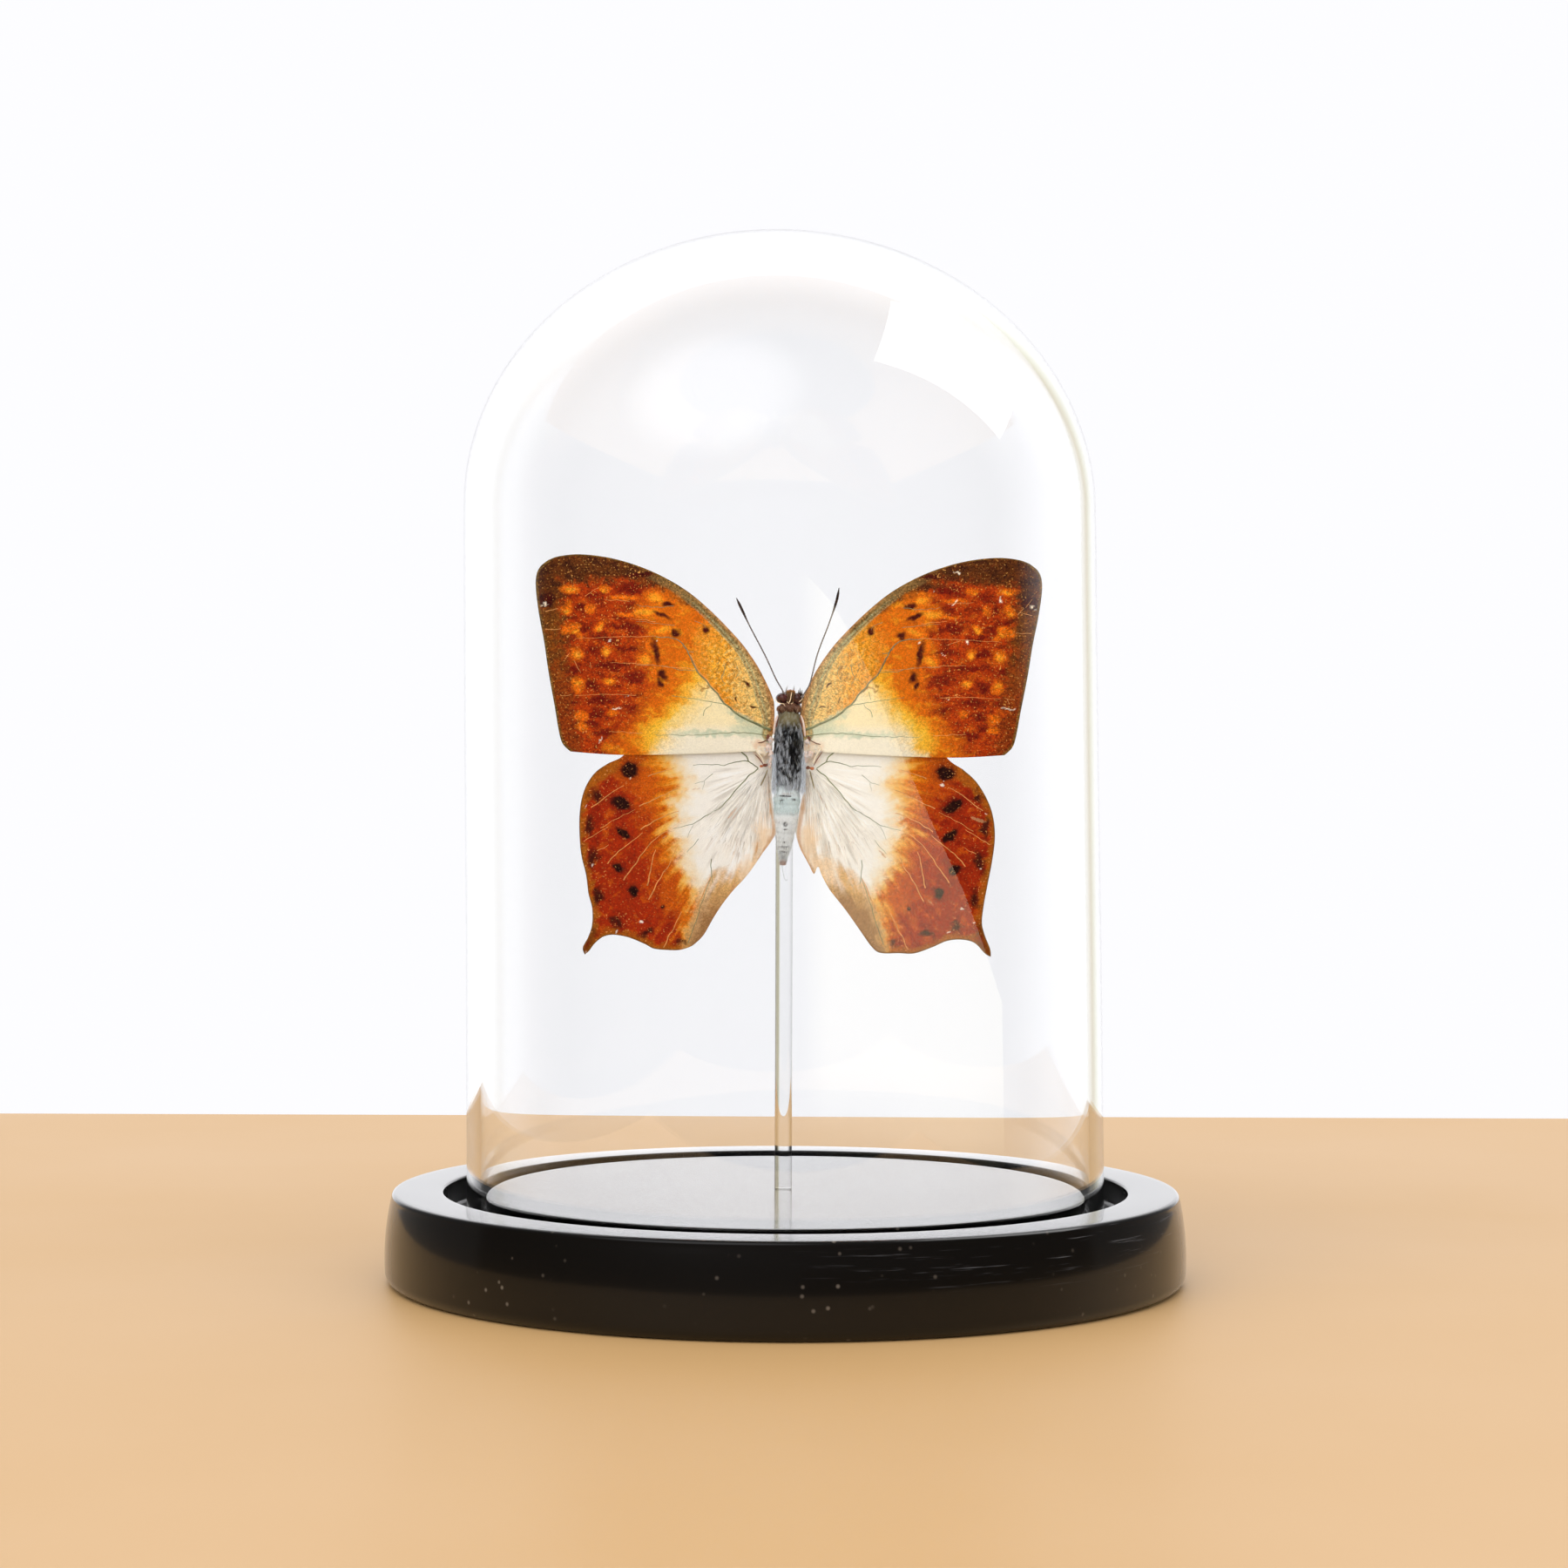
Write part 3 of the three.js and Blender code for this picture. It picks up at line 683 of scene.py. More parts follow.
HINDWING_RIGHT = {
    "lead": [(3.2, 0.8), (8.9, 2.3), (14.9, 2.9), (19.9, 2.2), (23.2, 0.4), (25.3, -1.7), (27.2, -2.9)],
    "outer": [(27.2, -2.9), (29.3, -4.8), (31.0, -7.5), (32.0, -10.3), (32.3, -13.5), (31.9, -17.2),
              (31.3, -20.5), (30.7, -23.8), (30.4, -26.6), (30.8, -28.5), (31.7, -30.8), (31.8, -32.0)],
    "trail": [(1.8, -12.8), (2.3, -15.6), (3.6, -18.2), (4.3, -19.4), (4.9, -18.2), (5.5, -19.6),
              (6.8, -21.9), (9.2, -24.9), (11.5, -28.1), (13.4, -30.7), (14.8, -31.6), (17.6, -31.6),
              (20.0, -31.6), (22.8, -30.6), (25.1, -29.6), (27.4, -29.4), (29.3, -29.9), (30.9, -31.5),
              (31.8, -32.0)],
    "root": [(3.2, 0.8), (3.2, -3.0), (3.0, -6.0), (2.4, -9.5), (1.8, -12.8)],
}

# The forewing's fields run across it. Each border is a line of points.
FORE_CREAM = [
    (10.2, 12), (11.2, 11), (12.4, 10), (13.2, 9), (13.9, 8), (14.6, 7), (15.2, 6), (16.1, 5), (17.1, 4),
    (17.7, 3), (18.2, 2), (18.2, 1), (18.9, 0), (19.8, -1.2)]
FORE_YELLOW = [
    (13.6, 15), (14.2, 13), (15.0, 11), (15.6, 10), (16.0, 9), (16.6, 8), (17.4, 7), (18.6, 6), (19.8, 5),
    (21.2, 4), (22.2, 3), (22.6, 2), (22.6, 1), (22.2, 0), (21.4, -1.2)]
FORE_ORANGE = [
    (19.8, 25), (21.4, 24), (23.0, 22), (22.8, 20), (21.2, 18), (22.3, 16), (22.4, 14), (21.5, 12),
    (21.2, 10), (21.8, 8), (22.8, 7), (23.2, 6), (23.4, 5), (24.0, 4), (25.0, 3), (26.2, 2), (26.8, 1),
    (27.4, 0), (28.2, -1.2)]
FORE_GOLD = [(9.5, 22), (11.8, 20), (12.6, 18), (13.6, 16), (14.4, 14), (15.0, 12), (15.0, 10)]
FORE_MARGIN = [
    (34.4, 27), (34.8, 26), (35.0, 24), (35.2, 22), (34.8, 20), (34.7, 18), (34.4, 16), (34.0, 14),
    (33.6, 12), (33.4, 10), (33.1, 8), (33.2, 6), (33.0, 4), (32.8, 2), (32.2, 0), (31.6, -1.2)]
FORE_COSTA = [
    (9, 16.2), (11.6, 19.3), (13.6, 21.0), (15.6, 22.3), (17.6, 23.7), (19.6, 24.7), (21.6, 25.5),
    (23.6, 26.1), (25.6, 26.3), (27.6, 26.2), (31.6, 25.8), (35.6, 25.5), (39, 25.4)]
CUBITAL_VEIN = [
    (2.6, 2.9), (5.1, 4.0), (7.6, 5.2), (9.8, 7.0), (11.6, 9.2), (14.1, 12.0), (15.6, 15.0), (16.6, 16.3),
    (17.8, 17.0), (20.6, 17.2)]

# Marks are [outward, up, half width, half height, tilt in degrees].
FORE_SPOTS = [
    (33.9, 24.5, 1.45, 0.62, 4), (28.4, 24.6, 0.85, 0.55, 0), (34.4, 21.3, 0.9, 0.75, -30),
    (34.0, 22.2, 0.5, 0.6, 0), (30.7, 21.5, 0.65, 0.75, 0), (33.9, 18.1, 1.2, 0.65, -8),
    (33.2, 18.7, 0.8, 0.6, 0), (32.4, 17.4, 0.6, 0.4, 35), (29.3, 18.8, 1.0, 0.5, -40),
    (32.8, 14.4, 1.0, 1.0, 0), (28.2, 14.9, 0.85, 0.75, 0), (32.5, 9.7, 0.95, 1.1, 0),
    (27.7, 10.3, 0.95, 0.6, 0), (31.9, 4.8, 0.95, 0.85, 0), (31.9, 3.1, 0.9, 0.6, 0),
    (27.2, 5.5, 0.75, 0.6, 0), (20.6, 23.2, 1.6, 0.85, 8), (21.8, 21.1, 2.1, 0.8, -3),
    (19.6, 18.4, 1.7, 0.75, -10), (22.2, 13.8, 0.95, 0.95, 20), (21.7, 16.0, 0.55, 1.0, 0),
    (20.6, 11.6, 0.5, 1.0, 0), (25.0, 20.6, 1.6, 0.3, 4), (25.6, 23.2, 1.9, 0.35, 0)]
FORE_HEARTS = [
    (28.7, 24.35, 0.35, 0.2, 0), (34.5, 21.1, 0.4, 0.3, -30), (33.0, 18.0, 0.5, 0.25, -20),
    (29.2, 18.6, 0.55, 0.25, -45), (28.2, 14.8, 0.5, 0.45, 0), (32.5, 9.9, 0.5, 0.35, 0),
    (27.8, 10.3, 0.55, 0.3, 0), (22.0, 21.0, 1.5, 0.45, -3), (20.6, 23.2, 1.0, 0.5, 8),
    (22.0, 13.6, 0.55, 0.6, 20), (19.4, 18.3, 1.1, 0.4, -10), (33.7, 24.4, 0.7, 0.25, 0),
    (32.7, 14.3, 0.5, 0.5, 0)]
FORE_BLOTCHES = [
    (31.9, 21.6, 0.75, 0.8, 0), (34.4, 19.9, 2.0, 0.4, 0), (31.6, 18.6, 1.1, 0.65, 0),
    (30.4, 14.9, 1.3, 0.65, -5), (30.2, 9.6, 1.3, 0.7, 0), (29.8, 5.2, 0.9, 0.75, 0),
    (30.1, 3.4, 0.9, 0.6, 0), (24.6, 18.8, 2.9, 0.55, 0), (24.2, 15.2, 2.1, 0.55, 0),
    (23.9, 10.9, 2.0, 0.9, 0), (24.6, 21.7, 1.4, 0.6, 5), (24.3, 6.2, 1.5, 0.5, 0),
    (28.3, 12.7, 3.0, 0.5, 0), (24.5, 24.8, 2.2, 0.9, 0), (30.6, 23.6, 1.2, 0.6, 0),
    (28.6, 7.4, 2.2, 0.6, 0), (27.9, 2.2, 1.6, 0.7, 0), (29.3, 17.2, 1.6, 0.5, 10),
    (33.4, 12.0, 1.4, 0.5, 0), (33.3, 7.0, 1.3, 0.5, 0), (30.2, 27.2, 5.5, 0.9, 2)]
FORE_BARS = [
    (18.9, 22.3, 0.95, 0.45, 8), (19.5, 20.6, 1.35, 0.32, 22), (17.5, 17.8, 0.75, 0.6, -35),
    (20.5, 14.9, 0.48, 1.9, -8), (19.3, 11.2, 0.62, 0.9, -25), (19.9, 10.0, 0.4, 0.7, -35),
    (12.8, 18.3, 0.5, 0.6, 0), (6.3, 10.1, 0.6, 0.22, 38), (5.4, 6.5, 0.6, 0.12, 12),
    (37.4, 22.8, 1.15, 0.95, 0), (7.9, 7.6, 0.16, 0.5, -12), (22.0, 26.9, 4.0, 0.35, -6)]
FORE_FLECKS = [
    (37.6, 22.5, 0.4, 0.16, 25), (38.2, 22.1, 0.25, 0.14, 10), (27.6, 16.6, 0.4, 0.18, -15),
    (20.4, 16.8, 0.16, 0.2, 0), (24.9, 7.75, 0.3, 0.13, 0)]
FORE_FLECKS_LEFT = [(26.6, 6.0, 0.75, 0.14, 2), (29.4, 1.0, 0.1, 0.45, 20)]
FORE_FLECKS_RIGHT = [
    (25.8, 22.75, 0.5, 0.12, 0), (26.0, 27.7, 0.7, 0.1, 12), (33.0, 23.4, 0.12, 0.65, -12),
    (24.0, 14.8, 0.5, 0.13, -10), (34.2, 6.4, 0.85, 0.16, -4), (23.0, 25.0, 0.65, 0.09, 18)]

# Veins and creases are [half width, points].
FORE_DARK_VEINS = [
    (0.30, CUBITAL_VEIN[:5]), (0.17, CUBITAL_VEIN[4:]),
    (0.11, [(2.6, 2.0), (4.0, 2.15), (5.6, 2.4), (7.6, 2.5), (9.6, 2.4), (12.6, 2.1)]),
    (0.07, [(12.6, 2.1), (15.6, 2.0), (20.6, 2.0)]),
    (0.08, [(9.8, 6.9), (11.6, 7.2), (15.6, 7.8), (18.1, 8.1)]),
    (0.07, [(14.2, 12.0), (16.6, 12.15), (19.6, 12.75), (23.6, 12.8)]),
    (0.08, [(13.0, 5.0), (12.8, 6.0), (12.0, 6.6), (11.7, 7.1)]), (0.07, [(12.6, 9.0), (12.8, 7.8)]),
    (0.09, [(9.6, 13.2), (9.9, 12.2), (10.4, 11.0), (9.8, 10.2)]),
    (0.08, [(8.0, 13.0), (7.6, 11.8), (8.2, 10.8)]), (0.06, [(17.6, 19.0), (20.6, 19.3), (23.5, 19.6)]),
    (0.07, [(17.8, 22.1), (20.5, 21.8), (23.5, 22.1)]), (0.08, [(14.6, 15.0), (15.6, 15.1), (16.4, 15.9)]),
    (0.06, [(14.6, 19.8), (13.2, 19.2), (12.9, 18.6)])]
FORE_PALE_VEINS = [
    (0.09, [(9.6, 6.9), (11.4, 9.2), (13.9, 12.1), (15.2, 14.6)]), (0.06, [(14.4, 12.3), (19.6, 12.6)]),
    (0.08, [(37.7, 21.0), (35.6, 21.4)]), (0.07, [(37.6, 18.1), (35.2, 18.3)]),
    (0.05, [(35.1, 7.9), (33.5, 8.1)]), (0.05, [(23.5, 8.15), (28.6, 8.2), (33.0, 8.0)]),
    (0.05, [(20.6, 17.3), (27.6, 17.1), (33.0, 16.8)]), (0.05, [(21.6, 12.9), (27.6, 13.2)]),
    (0.05, [(20.6, 19.6), (24.6, 20.0)]), (0.05, [(22.6, 2.2), (27.6, 2.5)]),
    (0.05, [(24.6, 22.7), (28.6, 22.9)])]
FORE_SCRATCHES_LEFT = [
    (0.06, [(34.6, 13.7), (33.8, 14.6)]), (0.06, [(33.1, 13.4), (32.1, 11.4)]),
    (0.05, [(31.6, 23.4), (30.3, 24.3), (29.6, 24.7)]), (0.05, [(30.4, 12.2), (30.7, 13.2)])]
FORE_SCRATCHES_RIGHT = [
    (0.06, [(36.7, 22.3), (37.6, 23.5)]), (0.06, [(35.4, 21.0), (36.5, 22.2)]),
    (0.05, [(24.6, 16.3), (26.6, 17.0)]), (0.06, [(34.0, 8.0), (34.3, 7.2)])]

HIND_WHITE = [
    (20.6, -0.5), (20.4, -1.5), (19.7, -3), (19.4, -4), (18.3, -4.7), (17.9, -6.2), (18.5, -7.4),
    (19.1, -8.3), (18.5, -9.6), (18.9, -10.3), (17.8, -11), (18.8, -12.2), (18.8, -13.2), (17.6, -14),
    (17.2, -16), (17.4, -17.5), (16.7, -18.8), (16.0, -20), (15.0, -21.5), (14.3, -23), (14.2, -25),
    (14.8, -27), (15.3, -30)]
HIND_RED = [
    (29, -3), (27.5, -4.4), (25.6, -5.2), (24.6, -6), (23.6, -7), (22.9, -8), (22.4, -9), (22.0, -10),
    (21.6, -12), (21.2, -14), (21.0, -15), (20.6, -16), (20.2, -18), (19.5, -20), (19.2, -21.5), (19.6, -23),
    (19.0, -24.5), (17.8, -26), (17.0, -27.5), (16.4, -29), (16.0, -31)]
HIND_ANAL = [
    (7.0, -16.5), (9.0, -18.3), (11.4, -19.4), (12.7, -22.4), (13.5, -25), (14.4, -28), (15.3, -30.6)]
HIND_EYES = [
    (24.5, -3.5, 1.38, 1.15, 0), (25.8, -8.7, 1.55, 0.95, 28), (25.4, -13.3, 1.35, 0.55, 40),
    (26.1, -18.7, 0.85, 0.6, 30), (23.7, -22.3, 0.7, 0.8, 0), (19.1, -24.8, 0.28, 0.26, 0)]
HIND_SMUDGES = [
    (29.7, -7.3, 0.8, 1.0, -20), (30.7, -12.2, 0.6, 1.5, 0), (30.0, -17.2, 0.75, 1.6, 12),
    (29.3, -22.9, 0.65, 1.4, 0), (26.5, -27.1, 1.0, 0.75, 10), (21.8, -28.7, 1.0, 0.5, -15),
    (16.6, -30.1, 0.75, 0.5, 0)]
HIND_FLECKS = [(24.4, -4.75, 0.12, 0.12, 0), (31.2, -9.3, 0.15, 0.1, 0), (29.9, -18.3, 0.25, 0.1, -45)]
HIND_FLECKS_LEFT = [(22.6, -26.95, 0.6, 0.16, 15), (26.0, -28.4, 0.12, 0.4, 10), (31.1, -31.7, 0.2, 0.15, 0)]
HIND_FLECKS_RIGHT = [
    (25.3, -28.0, 0.5, 0.16, 5), (24.4, -5.5, 0.5, 0.15, -20), (29.2, -26.7, 0.3, 0.15, -20),
    (27.3, -24.6, 0.15, 0.2, 0)]
HIND_PALE_VEINS = [
    (0.10, [(30.4, -9.4), (28.6, -8.1), (27.0, -6.9), (25.3, -5.9)]),
    (0.09, [(21.6, -4.5), (19.6, -3.7), (17.6, -3.1)]),
    (0.10, [(23.0, -9.1), (20.6, -8.0), (18.4, -6.9), (16.8, -6.2)]),
    (0.06, [(29.0, -12.6), (26.2, -10.9), (23.6, -9.6)]),
    (0.11, [(22.6, -12.7), (20.6, -11.4), (18.6, -10.4), (16.9, -9.8)]),
    (0.07, [(31.6, -14.6), (29.0, -13.1), (27.8, -12.3)]), (0.07, [(29.4, -16.1), (27.6, -15.2)]),
    (0.10, [(27.8, -18.1), (26.4, -16.4), (24.0, -14.6), (22.4, -13.2)]),
    (0.11, [(25.3, -20.6), (23.8, -18.5), (22.4, -16.5), (21.2, -14.9), (19.8, -13.7), (18.4, -12.8)]),
    (0.13, [(21.6, -21.4), (21.1, -18.8), (20.4, -15.8)]),
    (0.11, [(21.4, -23.6), (20.4, -21.7), (19.4, -19.9), (18.2, -18.1), (17.4, -16.2), (17.1, -15.2)]),
    (0.10, [(19.0, -31.0), (18.2, -29.4), (17.2, -27.5), (16.2, -25.4)]),
    (0.09, [(14.0, -25.0), (13.0, -22.8), (11.8, -20.0)])]
HIND_DARK_VEINS = [
    (0.20, [(8.0, 0.2), (6.7, -0.9), (5.9, -1.9), (4.6, -3.0)]),
    (0.12, [(5.9, -1.9), (8.1, -2.1), (9.9, -2.6), (11.6, -2.5)]), (0.08, [(11.6, -2.5), (14.6, -2.6)]),
    (0.14, [(4.6, -3.1), (5.8, -4.1), (8.1, -6.6), (10.2, -9.0), (12.1, -10.2), (14.6, -11.8)]),
    (0.07, [(14.6, -11.8), (17.8, -12.6)]), (0.07, [(11.6, -3.9), (12.9, -5.0), (14.4, -5.5)]),
    (0.05, [(12.9, -5.1), (13.1, -6.5)]), (0.05, [(14.6, -12.0), (15.1, -13.1), (15.4, -13.9)]),
    (0.07, [(13.6, -14.1), (14.8, -15.4), (15.4, -16.2)]),
    (0.10, [(11.8, -17.2), (11.7, -19.0), (11.4, -21.0)]),
    (0.09, [(15.2, -30.4), (14.2, -27.6), (13.4, -25.0), (12.6, -22.6), (11.6, -19.8)])]
FORE_WRINKLES = [
    (0.16, [(8.1, 12.9), (8.6, 11.6), (8.2, 10.9), (9.2, 10.2)]),
    (0.13, [(10.6, 13.6), (10.9, 12.4), (10.2, 11.6)]),
    (0.13, [(11.6, 9.0), (12.5, 9.7), (13.4, 9.2), (14.0, 10.0)]),
    (0.11, [(6.0, 7.3), (6.6, 6.4), (6.0, 5.6)])]

# Soft patches of colour near the roots, as marks.
FORE_SAGE = [(4.9, 2.9, 3.6, 1.1, 6), (11.0, 2.3, 6.0, 0.45, 0), (7.0, 4.6, 2.4, 0.6, 30)]
FORE_PEACH = [(4.0, 0.4, 1.6, 0.8, 0), (2.9, 5.2, 0.35, 1.6, 0)]
HIND_PEACH = [(5.6, -18.6, 2.6, 1.6, -45), (3.6, -13.8, 1.2, 3.6, -8), (3.6, -0.8, 1.2, 1.2, 0)]


def ripples(u, v, size, seed):
    """Smooth random waves of about one size, mostly from -1 to 1."""
    rng = np.random.default_rng(seed)
    total = np.zeros_like(u)
    for _ in range(16):
        turn, phase = rng.uniform(0, 2 * pi, 2)
        length = size * rng.uniform(0.7, 1.7)
        total += np.cos(2 * pi * (u * cos(turn) + v * sin(turn)) / length + phase)
    return total / 4


def warped(u, v, seed, amount=1.0):
    """The same places, pushed about by a fraction of a millimetre, so that no mark is a clean oval."""
    across = 0.28 * ripples(u, v, 2.4, seed) + 0.17 * ripples(u, v, 0.9, seed + 1)
    upward = 0.24 * ripples(u, v, 2.1, seed + 2) + 0.15 * ripples(u, v, 0.9, seed + 3)
    return u + amount * across, v + amount * upward


def oval_mask(u, v, marks, soft=0.4):
    """One inside the ovals, fading to nothing over their soft edges."""
    mask = np.zeros_like(u)
    for across, up, wide, high, tilt in marks:
        c, s = cos(radians(tilt)), sin(radians(tilt))
        a, b = (u - across) * c + (v - up) * s, (v - up) * c - (u - across) * s
        reach = np.hypot(a / wide, b / high)
        mask = np.maximum(mask, fade(reach, 1 - soft, 1 + soft))
    return mask


def distance_to(u, v, path):
    """How far each point lies from a line of points."""
    nearest = np.full_like(u, 1e9)
    for (ax, ay), (bx, by) in zip(path, path[1:]):
        dx, dy = bx - ax, by - ay
        share = np.clip(((u - ax) * dx + (v - ay) * dy) / (dx * dx + dy * dy), 0, 1)
        nearest = np.minimum(nearest, np.hypot(u - ax - share * dx, v - ay - share * dy))
    return nearest


def distance_to_curve(u, v, path, steps):
    return distance_to(u, v, spline(path, np.linspace(0, 1, steps)))


def line_mask(u, v, lines):
    """One along the middle of the lines, fading over their soft edges."""
    mask = np.zeros_like(u)
    for half, path in lines:
        mask = np.maximum(mask, fade(distance_to_curve(u, v, path, 8 * len(path)), 0.4 * half, 1.7 * half))
    return mask


def beyond(u, v, border, soft):
    """From nothing to one over a border that runs down the wing, with one half on the border itself."""
    up = np.array([p[1] for p in border])[::-1]
    out = np.array([p[0] for p in border])[::-1]
    return smoothstep(u - np.interp(v, up, out), -soft, soft)


def above(u, v, border, soft):
    """As beyond, for a border that runs out along the wing."""
    out, up = zip(*border)
    return smoothstep(v - np.interp(u, out, up), -soft, soft)


def forewing_masks(u, v, outline, left):
    seed = 100 if left else 140
    wu, wv = warped(u, v, seed)
    su, sv = warped(u, v, seed + 40, 0.5)
    lead = distance_to_curve(u, v, [(2.55, 2.4), (2.3, 4.2), (2.3, 6.0)] + outline["lead"], 96)
    outer = distance_to_curve(u, v, outline["outer"], 80)
    cell = above(u, v, CUBITAL_VEIN, 0.4)
    upper = above(u, v, CUBITAL_VEIN, 3.0)
    flecks = FORE_FLECKS + (FORE_FLECKS_LEFT if left else FORE_FLECKS_RIGHT)
    wide = 1.1 + 0.8 * fade(u, 4, 8) * smoothstep(v, 3, 8)
    strip = fade(lead, wide, wide + 0.5)
    inner = fade(u, 10, 20)
    costa_veins = 0.9 * bell(lead - 0.55 * wide, 0.3, 0.2) + bell(lead - wide, 0.3, 0.12)
    # Clouds of darker and lighter scales lie along the spaces between the veins.
    cloud = ripples(wu / 2.6, wv, 1.5, seed + 9) + 0.6 * ripples(wu / 2.0, wv, 0.7, seed + 10)
    field = beyond(wu + 0.5 * cloud, wv, FORE_ORANGE, 3.4)
    fine = ripples(u, v, 0.8, seed + 11)
    gold = (1 - beyond(wu, wv, FORE_GOLD, 5.0)) * upper
    cream = (1 - beyond(wu + 0.25 * cloud, wv, FORE_CREAM, 4.2)) * (1 - cell)
    rough = 0.35 * cloud + 0.3 * fine
    margin = np.maximum(beyond(wu + rough, wv, FORE_MARGIN, 1.6) * (0.72 + 0.28 * smoothstep(v, 10, 20)),
                        above(wu, wv + 0.6 * rough, FORE_COSTA, 1.6) * smoothstep(u, 10, 17))
    spots = oval_mask(su, sv, FORE_SPOTS, 0.6)
    return {
        "darker": smoothstep(cloud, 0.1, 1.4) * field * 0.9,
        "lighter": smoothstep(-cloud, 0.4, 1.6) * field * 0.5,
        "orange": 1 - field,
        "streak": 0.55 * smoothstep(-cloud, 0.0, 1.8) * (1 - field) * (1 - upper * gold),
        "amber": (1 - beyond(wu - 0.2 + 0.4 * cloud, wv, FORE_YELLOW, 3.2)) * (1 - cell),
        "yellow": (1 - beyond(wu + 0.6 + 0.3 * cloud, wv, FORE_YELLOW, 3.4)) * (1 - cell),
        "gold": gold,
        "honey": gold * smoothstep(fine + 0.6 * cloud, 0.0, 1.2) * 0.7,
        "straw": fade(u, 5, 11) * cell * 0.8 + 0.45 * smoothstep(-fine, 0.1, 1) * gold,
        "cream": cream,
        "ivory": cream * fade(v, 1.0, 5.0),
        "sage": 0.75 * oval_mask(wu, wv, FORE_SAGE, 0.95),
        "peach": oval_mask(wu, wv, FORE_PEACH, 0.6),
        "wrinkle": 0.8 * line_mask(wu, wv, FORE_WRINKLES),
        "margin": margin,
        "umber": (margin * (0.8 * smoothstep(v, 20, 26) + 0.5 * smoothstep(cloud, 0, 1.2)) * 0.8
                  + oval_mask(su, sv, [(37.4, 22.8, 1.3, 1.0, 0)], 0.5)),
        "rust": margin * fade(v, 4, 15),
        "costa": strip * fade(u, 15, 26),
        "costa_gold": strip * fade(u, 5.0, 11.0) * (0.65 + 0.3 * fine),
        "costa_rim": fade(lead, 0.25, 0.5) * inner,
        "fringe": fade(outer, 0.1, 0.6) + fade(lead, 0.05, 0.3) * smoothstep(u, 10, 18),
        "spot": spots,
        "heart": oval_mask(su, sv, FORE_HEARTS, 0.8),
        "blotch": oval_mask(wu, wv, FORE_BLOTCHES, 0.8),
        "black": oval_mask(su, sv, FORE_BARS, 0.6),
        "dark_vein": np.clip(costa_veins, 0, 1) * inner * (0.75 + 0.2 * fine),
        "fleck": oval_mask(wu, wv, flecks, 0.4),
        "specks": np.clip(0.9 * margin + 0.8 * field + 0.25 * (1 - cream), 0, 1),
        "grain": np.clip(0.1 + 0.3 * gold + 0.4 * strip
                         + (1 - cream) * (0.35 + 0.45 * field + 0.35 * margin), 0, 1),
        "crackle": np.clip(0.45 * gold + 0.35 * field + 0.4 * (1 - field) * (1 - cream), 0, 1),
    }


